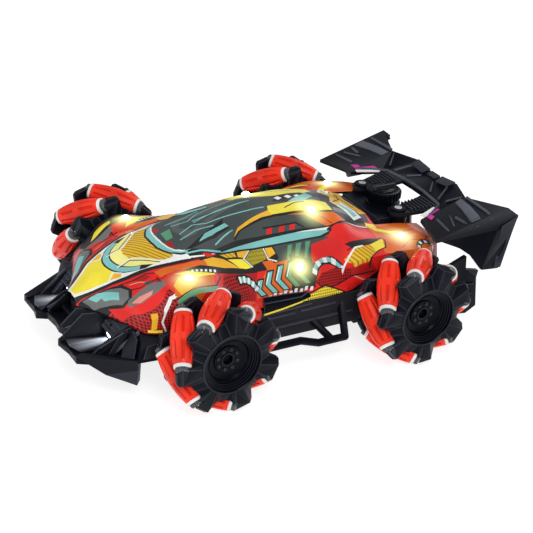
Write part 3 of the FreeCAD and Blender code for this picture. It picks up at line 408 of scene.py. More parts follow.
# Half sections from nose to tail: x, then (y, z) of the centre line, hood ridge or roof rail,
# waist, fender crest, outer edge and skirt.
BODY = (
    (134.0, ((0, 46.0), (3, 45.4), (5, 44.6), (6.5, 43.6), (7.5, 42.4), (8, 41.0))),
    (126.0, ((0, 51.0), (8, 49.6), (14, 48.4), (17, 46.0), (18.5, 43.4), (19, 41.0))),
    (116.0, ((0, 58.0), (13, 56.2), (28, 53.4), (33, 49.8), (38, 44.6), (40, 41.0))),
    (109.0, ((0, 61.4), (15.5, 59.4), (29, 56.6), (42, 52.4), (52, 46.0), (55, 40.5))),
    (100.0, ((0, 65.2), (18.8, 63.0), (31, 59.4), (44, 58.0), (55.5, 51.0), (58.5, 40.0))),
    (90.0, ((0, 68.6), (22.5, 65.6), (33, 62.6), (45, 64.0), (58.2, 58.6), (60, 47.5))),
    (77.0, ((0, 71.8), (19, 69.6), (30, 65.6), (45, 66.4), (59, 62.8), (60.5, 56.0))),
    (62.0, ((0, 76.4), (18, 74.4), (26.5, 69.0), (44, 65.6), (57.5, 60.4), (58.5, 52.0))),
    (50.0, ((0, 79.8), (19, 77.2), (27, 69.6), (44, 64.2), (54.5, 55.6), (57.5, 46.0))),
    (32.0, ((0, 84.4), (20.5, 79.0), (27.5, 72.0), (42, 64.4), (53, 54.6), (58.4, 43.0))),
    (12.0, ((0, 87.2), (16.4, 83.4), (28, 73.0), (41, 65.2), (52, 55.0), (58.4, 41.6))),
    (-12.0, ((0, 87.2), (15.3, 83.8), (28, 73.4), (41, 65.2), (52, 55.4), (58.4, 41.0))),
    (-32.0, ((0, 84.6), (15.8, 81.4), (27.6, 73.0), (41, 66.0), (53, 57.4), (58.4, 41.6))),
    (-42.0, ((0, 82.0), (16.4, 79.2), (27.4, 74.6), (41, 68.4), (55.5, 60.6), (58.6, 46.0))),
    (-56.0, ((0, 77.4), (16.6, 75.6), (27.2, 69.6), (43, 67.4), (58.2, 62.4), (60, 54.0))),
    (-70.0, ((0, 72.0), (18, 70.6), (28, 67.6), (45, 66.6), (59, 63.0), (60.5, 56.0))),
    (-90.0, ((0, 67.0), (18, 66.4), (29, 65.2), (45, 64.8), (57.5, 60.6), (59.5, 52.0))),
    (-103.4, ((0, 63.6), (18, 63.2), (29, 62.8), (43, 62.2), (51.5, 59.6), (53.5, 50.0))),
)
CREASED = (False, True, True, False, True, True)
ACROSS_STEPS = (6, 6, 6, 5, 3)
ALONG_STEP = 2.4


def hermite(t, start, end, leave, arrive):
    """Cubic from start to end with the given slopes."""
    return ((1 + 2 * t) * (1 - t) ** 2 * start + t * (1 - t) ** 2 * leave
            + t * t * (3 - 2 * t) * end + t * t * (t - 1) * arrive)


def smooth_line(knots, values, places):
    """Cubic curve through the knots with slopes limited so that it never overshoots."""
    knots, values = np.array(knots, float), np.array(values, float)
    rise = np.diff(values) / np.diff(knots)
    slope = np.zeros(len(knots))
    slope[0], slope[-1] = rise[0], rise[-1]
    for k in range(1, len(knots) - 1):
        if rise[k - 1] * rise[k] > 0:
            slope[k] = 2 * rise[k - 1] * rise[k] / (rise[k - 1] + rise[k])
    result = []
    for place in places:
        k = int(np.clip(np.searchsorted(knots, place) - 1, 0, len(rise) - 1))
        span = knots[k + 1] - knots[k]
        result.append(hermite((place - knots[k]) / span, values[k], values[k + 1], span * slope[k],
                              span * slope[k + 1]))
    return np.array(result)


def section_curve(corners):
    """Half section through six corners: sharp where CREASED says so, rounded elsewhere."""
    corners = [np.array(c, float) for c in corners]
    mirrored = np.array((-corners[1][0], corners[1][1]))
    curve = []
    for k, steps in enumerate(ACROSS_STEPS):
        start, end = corners[k], corners[k + 1]
        chord = end - start
        before = mirrored if k == 0 else corners[k - 1]
        leave = chord if CREASED[k] else (end - before) / 2
        after = corners[k + 2] if k + 2 < len(corners) else end
        arrive = chord if CREASED[k + 1] else (after - start) / 2
        curve += [hermite(n / steps, start, end, leave, arrive) for n in range(steps)]
    curve.append(corners[-1])
    return curve


def shell_surface():
    """Points and quads of the outer skin, right edge to left edge at each station."""
    stations = [x for x, _ in BODY][::-1]
    count = round((stations[-1] - stations[0]) / ALONG_STEP)
    places = np.linspace(stations[0], stations[-1], count + 1)
    lines = []
    for corner in range(6):
        ys = [half[corner][0] for _, half in BODY][::-1]
        zs = [half[corner][1] for _, half in BODY][::-1]
        lines.append((smooth_line(stations, ys, places), smooth_line(stations, zs, places)))
    points, rows = [], []
    for k, x in enumerate(places):
        half = section_curve([(ys[k], zs[k]) for ys, zs in lines])
        ring = [(x, -y, z) for y, z in half[:0:-1]] + [(x, y, z) for y, z in half]
        rows.append(range(len(points), len(points) + len(ring)))
        points += ring
    faces = []
    for row, after in zip(rows, rows[1:]):
        for k in range(len(row) - 1):
            faces.append((row[k], after[k], after[k + 1], row[k + 1]))
    return points, faces


def inside(point, outline):
    """True when a flat point lies in a closed outline."""
    x, y = point
    hit = False
    for (xa, ya), (xb, yb) in zip(outline, outline[1:] + outline[:1]):
        if (ya > y) != (yb > y) and x < (xb - xa) * (y - ya) / (yb - ya) + xa:
            hit = not hit
    return hit


def flat(co, view):
    return (co.x, co.y) if view == "plan" else (co.x, co.z)


def extent(outline):
    """Lowest and highest corner of a flat outline's box."""
    return [[pick(p[k] for p in outline) for k in (0, 1)] for pick in (min, max)]


class Livery:
    """Cuts flat outlines into the shell's faces and gives what lies inside a paint."""

    def __init__(self, bm, slots):
        self.bm = bm
        self.slots = slots

    def tools(self, view, beyond):
        """Fill and stroke for one view, kept to faces beyond a height (or breadth, from the side)."""
        where = {"view": view, "beyond": beyond}
        return partial(self.fill, **where), partial(self.stroke, **where)

    def cut(self, outline, view, side=1, beyond=0):
        """Cuts a closed outline, in metres, into the faces that it covers; returns the faces near it."""
        box = extent(outline)

        def near(face, low, high):
            face_low, face_high = extent([flat(v.co, view) for v in face.verts])
            return all(face_low[k] <= high[k] and face_high[k] >= low[k] for k in (0, 1))

        def wanted(face):
            centre = face.calc_center_median()
            if view == "side" and centre.y * side <= 0:
                return False
            depth = centre.z if view == "plan" else abs(centre.y)
            return depth >= beyond * MM and near(face, *box)

        faces = {f for f in self.bm.faces if wanted(f)}
        for a, b in zip(outline, outline[1:] + outline[:1]):
            edge = extent((a, b))
            crossed = [f for f in faces if near(f, *edge)]
            du, dv = b[0] - a[0], b[1] - a[1]
            if not crossed or math.hypot(du, dv) < 1e-7:
                continue
            if view == "plan":
                origin, normal = Vector((a[0], a[1], 0)), Vector((-dv, du, 0))
            else:
                origin, normal = Vector((a[0], 0, a[1])), Vector((-dv, 0, du))
            geometry = list({g for f in crossed for g in (*f.verts, *f.edges)}) + crossed
            made = bmesh.ops.bisect_plane(self.bm, geom=geometry, dist=2e-6, plane_co=origin,
                                          plane_no=normal.normalized())
            faces.difference_update(crossed)
            faces.update(g for g in made["geom"] if isinstance(g, bmesh.types.BMFace))
            faces = {f for f in faces if f.is_valid}
        return faces

    def fill(self, paint, outline, view, beyond, sides=(1, -1)):
        """outline is in millimetres: (x, z) from the side, or (x, y) from above."""
        for side in sides:
            flip = side if view == "plan" else 1
            scaled = [(u * MM, v * MM * flip) for u, v in outline]
            for face in self.cut(scaled, view, side, beyond):
                if inside(flat(face.calc_center_median(), view), scaled):
                    face.material_index = self.slots.index("paint_" + paint)

    def stroke(self, paint, line, width, closed=False, **where):
        """A line of even width along a path."""
        path = [Vector(p) for p in line]
        if closed:
            path.append(path[0])
        left, right = [], []
        for k, point in enumerate(path):
            before, after = path[max(k - 1, 0)], path[min(k + 1, len(path) - 1)]
            if closed and k in (0, len(path) - 1):
                before, after = path[-2], path[1]
            a = (point - before).normalized() if (point - before).length else None
            b = (after - point).normalized() if (after - point).length else None
            a, b = a or b, b or a
            along = (a + b).normalized() if (a + b).length > 0.2 else b
            across = Vector((-along.y, along.x))
            reach = width / 2 / max(across.dot(Vector((-b.y, b.x))), 0.5)
            left.append(tuple(point + across * reach))
            right.append(tuple(point - across * reach))
        for k in range(len(path) - 1):
            self.fill(paint, [left[k], left[k + 1], right[k + 1], right[k]], **where)


def make_shell():
    """Printed skin, open behind the cockpit, with a black inside."""
    mesh = mesh_from("body_shell_print", *shell_surface())
    bm = bmesh.new()
    bm.from_mesh(mesh)
    slots = [name for name in MATERIALS if name.startswith("paint_")] + ["shell_inside"]
    for face in bm.faces:
        face.material_index = slots.index("paint_red")
    livery = Livery(bm, slots)
    opening = [(u * MM, v * MM) for u, v in ((-68.5, -27.5), (-68.5, 27.5), (-110, 27.5), (-110, -27.5))]
    removed = [f for f in livery.cut(opening, "plan")
               if inside(flat(f.calc_center_median(), "plan"), opening)]
    bmesh.ops.delete(bm, geom=removed, context="FACES")
    paint_flank(livery)
    paint_fenders(livery)
    paint_hood(livery)
    paint_canopy(livery)
    bm.to_mesh(mesh)
    bm.free()
    coloured(mesh, *slots)
    smoothed(mesh, 22)
    shell = link("body_shell_print", mesh)
    skin = shell.modifiers.new("skin", "SOLIDIFY")
    skin.thickness = 1.4 * MM
    skin.offset = -1.0
    skin.material_offset = len(slots)
    skin.material_offset_rim = len(slots)
    apply_modifiers(shell)
    attached(shell, "body_shell", "chassis", "shell_print")


def paint_hood(livery):
    """Raised V hood: yellow panels, teal ring, gold hatching and a black border."""
    fill, stroke = livery.tools("plan", 38)
    ring_out = [(91 + 20.2 * math.cos(a), 20.2 * math.sin(a)) for a in np.radians(range(0, 73, 8))]
    ring_in = [(90 + 17.4 * math.cos(a), 17.4 * math.sin(a)) for a in np.radians(range(0, 73, 8))]
    fill("black", [(136, -1), (134, 8), (131, 9.5), (125, 12.5), (119, 16.5), (107, 21), (95, 23.5),
                   (86, 25.5), (66, 28.5), (56, 29.5), (60, 20), (84, -1)])
    fill("white", [(135, -1), (133.6, 5), (125, 10), (117, 14.8), (105, 18.6), (97, 20.2), (88, 22.4),
                   (66, 26.4), (66, 25), (80, -1)])
    fill("yellow", [(133.6, -1), (132.6, 3.4), (125, 8), (117, 12.8), (108, 16.4), (104, -1)])
    fill("black", [(112.4, -1), *[(x + 1, y) for x, y in ring_out], (94, 20.6), (80, 20), (80, -1)])
    fill("teal", [*ring_out, *ring_in[::-1]])
    fill("lemon", [(106.4, -1), *[(x - 0.9, y) for x, y in ring_in], (88, 20.6), (80, 21.4), (77, -1)])
    fill("gold", [(99.5, -1), (98, 7), (96, 7.8), (90.5, 13), (83, 20.5), (76, 21), (74, 17), (74, -1)])
    stroke("white", [(107, 8), (98, 7), (96, 7.8), (90.5, 13), (83, 20.5), (76, 22.5)], 1.0)
    stroke("black", [(106, 9.2), (98.6, 8.2), (91.4, 14.2), (84.4, 21)], 0.7)
    fill("amber", [(114, 13.6), (109.5, 10.5), (107, 14.2), (108.4, 16.6)])
    stroke("white", [(115.4, 14), (110.6, 9.4), (106.6, 14.2)], 0.9)
    stroke("white", [(84, 22.6), (72, 24.4), (57, 27)], 1.1)


def paint_canopy(livery):
    """Windscreen ring, smoked canopy with blades and light lines, roof rails and side windows."""
    fill, stroke = livery.tools("plan", 66)
    fill("black", [(82, -1), (81.4, 8), (79, 13.6), (76, 18.4), (71, 22), (58, 25), (48, 28), (40, 28),
                   (-62, 27.6), (-62, -1)])
    fill("teal", [(80.6, -1), (80, 8), (78, 12.8), (75.4, 17.4), (70.6, 20.8), (66, 22), (66, -1)])
    fill("teal", [(76, -8), (72, -15), (62, -25), (54, -20), (50, -10), (52, -4), (70, -4)], sides=(1,))
    fill("white", [(77.2, -1), (76.6, 6.6), (75.4, 12.4), (73, 17.6), (69, 20.4), (60, 21.4), (60, -1)])
    fill("smoke", [(76, -1), (75.6, 6.2), (74.4, 11.8), (72.2, 16.8), (68.4, 19.8), (62, 21.4),
                   (50, 25.6), (35, 25), (20, 26), (-30, 26.6), (-36, 14), (-40, -1)])
    fill("green", [(72.4, -3.6), (66, -4), (68.6, 6), (73, 6)], sides=(1,))
    fill("crimson", [(74.6, 7), (71, 8), (71.6, 16), (73.4, 12.8)])
    fill("smoke_light", [(66, -1), (63, 12), (56, 12), (40, 5), (12, -1)])
    fill("smoke", [(62, -1), (57, 7), (44, 3), (22, -1)])
    for line in ([(64, 6), (54, 3), (46, 7), (32, 7.6), (18, 9), (6, 9)], [(66, 11), (54, 9), (43, 11)],
                 [(52, 1), (35, -0.5), (12, 0)], [(48, 23.6), (42, 21.6), (34, 19.6)]):
        stroke("teal", line, 0.8)
    fill("black", [(68, 20.6), (61, 18.4), (53, 15.2), (45, 12), (35, 8.4), (37.6, 12.6), (34.6, 17),
                   (46, 20.6), (53, 20.6), (61, 20.8)])
    fill("teal", [(57, 19.2), (51, 14.8), (44, 13.6), (36, 12.4), (34.6, 15.4), (44, 17.2), (48, 18.8)])
    stroke("teal", [(68, 22.4), (58, 23.6), (46, 27.4)], 1.0)
    # roof rails: a gold arc that widens to a yellow rail
    stroke("black", [(35, 24.4), (30, 21), (21, 19.2), (12, 17.6), (3, 17), (-42, 18.4)], 1.4)
    fill("amber", [(35, 23.6), (30, 19), (22, 16.6), (5, 12.4), (4, 16.6), (12, 17), (21, 18.8),
                   (31, 21.2)])
    fill("yellow", [(5, 13), (3.4, 8.6), (-10, 8.6), (-31, 7.4), (-41, 9.6), (-41, 17.6), (-10, 16.4),
                    (4, 16.4)])
    fill("yellow", [(21, -15.6), (19, -9), (10, -7.6), (1, -2.6), (-8, -0.6), (-30, -1), (-41, -9),
                    (-38, -16)], sides=(1,))
    stroke("black", [(-7, 12.8), (-16, 9.8), (-24, 9)], 0.8)
    fill("black", [(-2, 5.6), (-8, 0), (-28, -2.4), (-31, 1.6), (-13, 8.2)], sides=(1,))
    for x in (-6.5, -14, -21.5):
        fill("white", [(x + 1.6, 2.4), (x - 1.8, 1), (x - 3.8, 3.6), (x - 0.4, 5)], sides=(1,))
    fill("teal", [(-12, 8.2), (-31, -1), (-34, 3.4), (-24, 8.4)], sides=(1,))
    # back of the roof
    fill("black", [(-40, -1), (-41, 18), (-66, 26), (-70, -1)])
    fill("grey", [(-43, 14), (-42, 18), (-56, 22), (-60, 18)])
    fill("white", [(-45, 7), (-54.5, 24), (-62, 21.4), (-53.4, 5.8)])
    fill("teal", [(-48, 8.4), (-55.6, 21.6), (-59.4, 20), (-51.6, 7)])
    fill("amber", [(-46.4, -5), (-47.8, -12), (-60.6, -2), (-69, 17.6), (-62, 18.4)])
    fill("gold", [(-49, -6), (-51, -8), (-59, -1.6), (-64, 10), (-60.6, 12)])
    stroke("black", [(-47, -8), (-55, -3), (-63, 15)], 0.9)
    # side window with its red marks and orange flare
    for x in (9.4, 0.4, -7.4):
        fill("red", [(x + 1.6, 23), (x - 2.2, 23), (x - 0.2, 26), (x + 3.8, 26)])
    stroke("black", [(14, 22.6), (-10, 22.8), (-15, 26)], 0.9)
    fill("orange", [(-6, 17.6), (-17, 18), (-41, 18.8), (-46, 26), (-37, 26.8), (-31, 27), (-26, 24),
                    (-20, 19.6)])
    stroke("crimson", [(-24, 19), (-32, 22), (-36, 26.4)], 0.7)


def paint_flank(livery):
    """Waist stripes, side pod panels, chevrons and checkered arcs."""
    fill, stroke = livery.tools("plan", 50)
    fill_side, stroke_side = livery.tools("side", 30)
    fill("black", [(50, 28.4), (34, 33), (-24, 34.4), (-33, 31.6), (-34, 28), (50, 26)])
    fill("teal", [(50, 27.4), (45, 28.6), (34, 31.2), (14, 32.2), (-8, 32.6), (-23, 32.6), (-31, 30.6),
                  (-30, 27.6), (-11, 27.4), (36, 26.4)])
    stroke("white", [(52, 27), (44, 25.8), (36, 26), (18, 26.8), (13, 26), (-11, 27.4), (-29, 28.6),
                     (-36, 25.6), (-45, 27), (-62, 30.6)], 1.4)
    stroke("black", [(-30, 30), (-37, 27), (-45, 28.4), (-62, 32)], 0.9)
    # shaded panel with light rays under the waist stripe
    fill("smoke", [(13, 33.4), (-28, 34), (-29, 39.6), (-12, 41), (-10, 46), (12, 46.5), (24, 45.5),
                   (20, 41)])
    for x, reach in ((9, 1.2), (3, 1.6), (-4, 1.4)):
        fill("green", [(x, 46), (x - reach, 46), (x - 8 - reach * 2, 34.6), (x - 7, 34.6)])
    fill("black", [(62, 29), (48, 28.6), (12, 33.4), (12, 41), (22, 45.8), (44, 45.6), (62, 38)])
    fill("amber", [(60, 30.4), (53, 29.8), (47.6, 33.4), (41, 42.6), (49, 41), (60, 37)])
    fill("gold", [(48.4, 29.6), (38.4, 31.2), (39, 34.6), (45, 33.4)])
    fill("yellow", [(45, 34.8), (36, 37), (32.4, 43), (40, 44)])
    fill("amber", [(37, 31.4), (29.6, 32.2), (34.8, 36.2), (38, 35)])
    fill("olive", [(28, 32.8), (20, 33.2), (20, 40), (31, 42), (34, 37.2)])
    fill("amber", [(18.2, 33.4), (13.2, 33.8), (12.8, 38), (18.6, 39.8)])
    stroke("white", [(29, 32.4), (35, 37), (31.6, 43)], 0.8)
    stroke("white", [(19.2, 33.2), (19.2, 40.4), (14, 42.4)], 0.8)
    # side pod
    fill_side("crimson", [(62, 64), (28, 63), (34, 56), (36, 48), (62, 48)])
    fill_side("red_dots", [(57, 63.4), (44, 62.4), (41, 60), (38, 50), (54, 44), (60, 56)])
    fill_side("orange", [(34.6, 48.6), (33, 57.4), (28, 57.6), (20, 63.4), (4, 64), (8, 49)])
    fill_side("black", [(4, 66), (-10, 62), (-9.5, 56), (-8, 47.6), (10, 47.6), (7, 57)])
    fill_side("orange", [(24, 65), (17, 65), (14, 58), (20, 55)])
    for x, low, high in ((29.5, 49.6, 57.4), (21.5, 49.8, 60.2), (13.5, 50, 61.8), (5.5, 50.4, 62.6),
                         (-2.5, 50.8, 62.6)):
        half, middle = (high - low) / 2, (high + low) / 2
        reach = half * 0.42
        chevron = [(x - reach, low), (x + 3.4 - reach, low), (x + 3.4 + reach, middle),
                   (x + 3.4 - reach, high), (x - reach, high), (x + reach, middle)]
        stroke_side("black", chevron, 1.6, closed=True)
        fill_side("teal" if x > 10 else "green", chevron)
        stroke_side("white", [(x + 2.9 - reach, high - 0.6), (x + 2.9 + reach, middle)], 0.6)
    for k in range(9):
        x = 27 - 3.8 * k
        z = 48.2 if k % 2 else 47.4
        fill_side("white", [(x, z - 1), (x - 2.2, z - 1), (x - 3.2, z + 1.2), (x - 1, z + 1.2)])
    for centre, radius, first, last in (((43, 50), 10, 20, 105), ((-18.5, 49.5), 11.5, 25, 165)):
        spots = [math.radians(first + (last - first) * k / 10) for k in range(11)]
        arc = [(centre[0] - radius * math.cos(a), centre[1] + radius * math.sin(a)) for a in spots]
        stroke_side("black", arc, 4.6)
        for k in range(0, 10, 2):
            stroke_side("white", arc[k:k + 2], 3.0)
        for k in range(1, 9, 2):
            stroke_side("teal", arc[k:k + 2], 2.2)
    # panels behind the chevrons
    fill_side("red", [(-10.4, 63), (-10, 60), (-17, 61.6), (-25, 62), (-30, 60.6), (-36, 62), (-43, 67.6),
                      (-42, 70), (-26, 69), (-14, 68)])
    fill_side("red_dots", [(-9, 51), (-14, 55), (-24, 56.6), (-34, 55.4), (-35, 51), (-24, 47),
                           (-15, 46)])
    fill_side("crimson", [(-34, 55.6), (-48, 58.4), (-51, 53), (-47, 49.6), (-35, 51)])
    fill_side("red", [(-25, 47), (-35, 50), (-42, 48.6), (-46, 44), (-36, 41), (-25, 41)])
    stroke_side("pink", [(-36, 50.6), (-44, 46.6)], 0.8)
    stroke_side("black", [(-8, 51.6), (-14, 45.8), (-24, 46.6), (-35, 50.6), (-50, 52.6)], 0.9)
    fill_side("yellow_mesh", [(-1, 43.6), (-15, 47), (-21, 44.6), (-28, 41.6), (-28, 39), (-1, 39)])
    stroke_side("black", [(0, 44), (-15, 47.8), (-22, 44.8), (-29, 41.4)], 0.9)
    stroke_side("yellow", [(26, 42.4), (6, 41.6), (-1, 42)], 1.6)


def paint_fenders(livery):
    """Nose lamps, front and rear fenders."""
    fill, stroke = livery.tools("plan", 38)
    fill_side, stroke_side = livery.tools("side", 30)
    # nose lamp panel
    fill("black", [(133, 9), (126, 12.6), (118, 17.6), (110, 22.4), (107, 30), (110, 36), (116, 36),
                   (119, 31), (128, 20)])
    fill("grey", [(131, 10.6), (126, 13.6), (118, 18.8), (112, 23.6), (109, 29), (111, 34), (115, 34),
                  (118, 30), (126, 19)])
    fill("teal", [(128, 12.8), (123, 15), (120, 18.4), (114, 26), (115.6, 30.6), (121.6, 23), (122.6, 20),
                  (125, 18.4)])
    # facets behind the lamp
    fill("crimson", [(104, 23), (96, 25), (94, 28), (100, 29)])
    stroke("black", [(112, 21.4), (103, 24.4), (96, 24.4), (90, 27.6), (86, 33)], 0.8)
    stroke("pink", [(107, 25.6), (101, 27.6), (97, 31)], 0.7)
    stroke("black", [(109, 29), (102, 32), (96, 31), (88, 34)], 0.9)
    fill("smoke", [(100, 29.4), (95, 30.4), (94, 33), (98, 33)])
    fill("grey", [(113, 40), (112, 35), (104, 34), (97, 33), (89, 37), (91, 43), (98, 44), (106, 43)])
    fill("pink", [(111, 38), (106, 37.4), (98, 40), (100, 42.4), (107, 41.6)])
    fill_side("red_dots", [(121, 41), (119, 45.6), (115, 48), (108, 52), (102, 56), (97, 60), (91, 63),
                           (88, 61), (90, 44), (98, 38)])
    fill("red", [(121, 27), (117, 38), (109, 47), (102, 50), (96, 50), (91, 46), (98, 43.4), (106, 42.6),
                 (112, 39.4), (117, 33)])
    fill_side("amber", [(104.4, 50.6), (101.2, 51.6), (103, 43), (106.2, 42.2)])
    stroke_side("white", [(97.6, 40), (99.6, 47), (97, 54), (92.6, 59.6), (87, 62.4)], 1.1)
    stroke_side("yellow", [(108, 41.8), (100, 41.6)], 1.4)
    # top of the front fender
    fill("orange", [(91, 26.4), (83, 26.4), (66, 29.4), (59, 31), (60, 38), (68, 36.6), (79, 31),
                    (89, 32)])
    fill("yellow", [(82, 35), (72, 37.4), (59, 41.6), (59, 45), (73, 46)])
    fill("black", [(76, 34.6), (64, 34.6), (50, 40.6), (36, 43.6), (24, 43.6), (30, 46), (42, 46),
                   (60, 43.4), (70, 40)])
    for k in range(6):
        x, y = 71.4 - 2.7 * k, 36.9 + 0.75 * k
        fill("white", [(x, y), (x - 1.5, y + 0.1), (x - 0.7, y + 2.4), (x + 0.8, y + 2.2)])
    fill("orange", [(78, 45.6), (60, 44.6), (54, 46.4), (58, 54), (76, 60), (86, 59), (90, 53), (86, 46)])
    fill("amber", [(88, 47), (82, 41), (76, 45.6), (76, 52), (86, 57)])
    fill("red", [(60, 45), (54, 46.4), (58, 54), (64, 56), (62, 50)])
    fill("green", [(90, 56.4), (61, 53.6), (62, 56), (66, 58), (90, 60)])
    stroke("black", [(90, 55.8), (62, 53), (56, 46.4), (57, 44)], 0.9)
    # darker skin of the right front fender
    fill("black", [(110, -36), (100, -38), (88, -42), (76, -44), (64, -47), (54, -50), (60, -60),
                   (90, -61), (110, -52)], sides=(1,))
    fill("yellow", [(97, -49), (85.6, -51.4), (87.6, -45.4), (104, -39)], sides=(1,))
    fill("crimson", [(84, -53), (68, -52), (70, -48.6), (84, -46.6)], sides=(1,))
    # rear fender
    fill("red", [(-26, 37), (-31, 31.6), (-37, 28.4), (-45, 29.4), (-62, 33), (-54, 43), (-37, 42)])
    fill("black", [(-36, 42), (-54, 43), (-62, 45), (-60, 48), (-40, 47)])
    fill("orange", [(-61, 30), (-66, 27), (-104, 24), (-106, 50), (-96, 61), (-70, 62), (-58, 57),
                    (-60, 45)])
    fill("gold", [(-31, 50), (-40, 47), (-51, 48), (-62, 45.6), (-61, 52), (-55, 53), (-47, 57),
                  (-37, 55)])
    fill("yellow", [(-52, 48), (-63, 45.4), (-60, 53), (-53, 54)])
    stroke("white", [(-28, 54), (-34, 50.4), (-41, 46.8), (-47, 47.2)], 1.1)
    stroke("black", [(-46, 57.6), (-55, 53.8), (-61, 53), (-64, 47), (-62, 44.6), (-36, 46)], 0.8)
    fill("yellow", [(-60, 25), (-68, 27.6), (-67, 33), (-74, 37.6), (-86, 43), (-74, 42), (-64, 36)])
    stroke("crimson", [(-72, 56), (-82, 50), (-95, 50), (-101, 44)], 0.8)
    stroke("crimson", [(-80, 40), (-92, 38), (-103, 33)], 0.8)
    fill("pink", [(-95, 26), (-104, 26), (-104, 46), (-98, 46), (-94, 36)])
    arc = [(-92 + 7 * math.cos(a), 58 - 6 * math.sin(a)) for a in np.radians(range(10, 171, 20))]
    stroke("black", arc, 3.6)
    for k in range(0, 8, 2):
        stroke("white", arc[k:k + 2], 2.2)
    fill_side("crimson", [(-98, 61), (-106, 61), (-106, 49), (-100, 50)])


# ---------------------------------------------------------------- wheels

PITCH = 360.0 / ROLLERS
LOBE_LEAD = 31.1
DISC_INNER, DISC_OUTER = 10.0, 17.0
RIM_RADIUS = 19.2
SLEEVE_HALF = 16.2
GROOVE_DEPTH = 1.0


def wheel_place(tag):
    """Axle position in millimetres, side (+1 left, -1 right) and the first roller's angle."""
    x, y, z = (c / MM for c in JOINTS["wheel_spin_" + tag]["pos_m"])
    side = 1 if y > 0 else -1
    rx, _, rz = (c / MM for c in JOINTS[f"roller_spin_{tag}_1"]["pos_m"])
    return (x, side * abs(y), z), side, math.degrees(math.atan2(rz - z, rx - x))


def polar(degrees, radius, height):
    turn = math.radians(degrees)
    return (radius * math.cos(turn), height, radius * math.sin(turn))


def wheel_mesh(name, points, faces, tag):
    """Mesh given about the axle, with heights measured outwards from the wheel's middle."""
    (x, y, z), side, _ = wheel_place(tag)
    placed = [(x + u, y + side * h, z + w) for u, h, w in points]
    return mesh_from(name, placed, faces)


def roller_profile(height):
    """Radius of the red sleeve at a height along the pin."""
    return 7.6 - 2.2 * (abs(height) / SLEEVE_HALF) ** 2


def roller_matrices(tag, way=1):
    """Places of a wheel's seven rollers; way -1 turns each end for end."""
    joints = [JOINTS[f"roller_spin_{tag}_{k}"] for k in range(1, ROLLERS + 1)]
    return [pose_matrix(joint["pos_m"], Vector(joint["axis"]) * way) for joint in joints]


def roller_mesh():
    """Barrel with two rows of lengthwise grooves, a white ring and a ribbed collar at each end."""
    columns, ribs = 72, 60
    upper = [0.5, 1.8, 2.6, 4.3, 7.2, 10.2, 13.0, 13.8, 15.8, SLEEVE_HALF]
    heights = [-h for h in upper[::-1]] + upper
    points, faces = [], []
    for h in heights:
        for k in range(columns):
            depth = GROOVE_DEPTH if 2.2 < abs(h) < 13.4 and k % 9 in (3, 4, 5) else 0.0
            radius = roller_profile(h) - depth - (0.35 if abs(h) == SLEEVE_HALF else 0.0)
            turn = math.tau * k / columns
            points.append((radius * math.cos(turn), radius * math.sin(turn), h))
    for row in range(len(heights) - 1):
        for k in range(columns):
            a, b = row * columns + k, row * columns + (k + 1) % columns
            faces.append((a, b, b + columns, a + columns))
    sleeve = mesh_from("sleeve", points, faces)
    ring = mesh_from("ring", *turned([(1.2, 15.9), (5.25, 15.9), (5.45, 16.3), (5.3, 17.5), (4.9, 17.9),
                                      (1.2, 17.9)], 48, closed=False))
    points = []
    for k in range(ribs):
        swell = 0.28 if k % 3 == 0 else 0.0
        turn = math.tau * k / ribs
        points += [(r * math.cos(turn), r * math.sin(turn), h)
                   for r, h in ((4.1 + swell, 17.8), (3.95 + swell, 19.8), (3.3 + swell, 20.5), (1.2, 20.5))]
    collar = mesh_from("collar", points, ring_faces(ribs, 4, closed=False))
    parts = [(sleeve, Matrix.Identity(4), 0)]
    for mesh, index in ((ring, 1), (collar, 2)):
        parts += [(mesh, Matrix.Identity(4), index), (mesh, Matrix.Rotation(math.pi, 4, "X"), index)]
    mesh = join_meshes("roller", parts)
    finish_mesh(mesh, 32)
    coloured(mesh, "roller_red", "roller_white", "collar_dark", "roller_groove_shade")
    # Groove floors take a darker red: painted shade in the recesses.
    for face in mesh.polygons:
        across, along = math.hypot(*face.center[:2]) / MM, face.center.z / MM
        if face.material_index == 0 and across < roller_profile(along) - 0.7 and abs(along) < 13:
            face.material_index = 3
    return mesh


def make_rollers():
    mesh = roller_mesh()
    for tag in WHEEL_TAGS:
        for k, matrix in enumerate(roller_matrices(tag), 1):
            node = f"roller_{tag}_{k}"
            roller = link(node + "_sleeve", mesh)
            roller.matrix_world = matrix
            attached(roller, node, node, "roller_rubber")


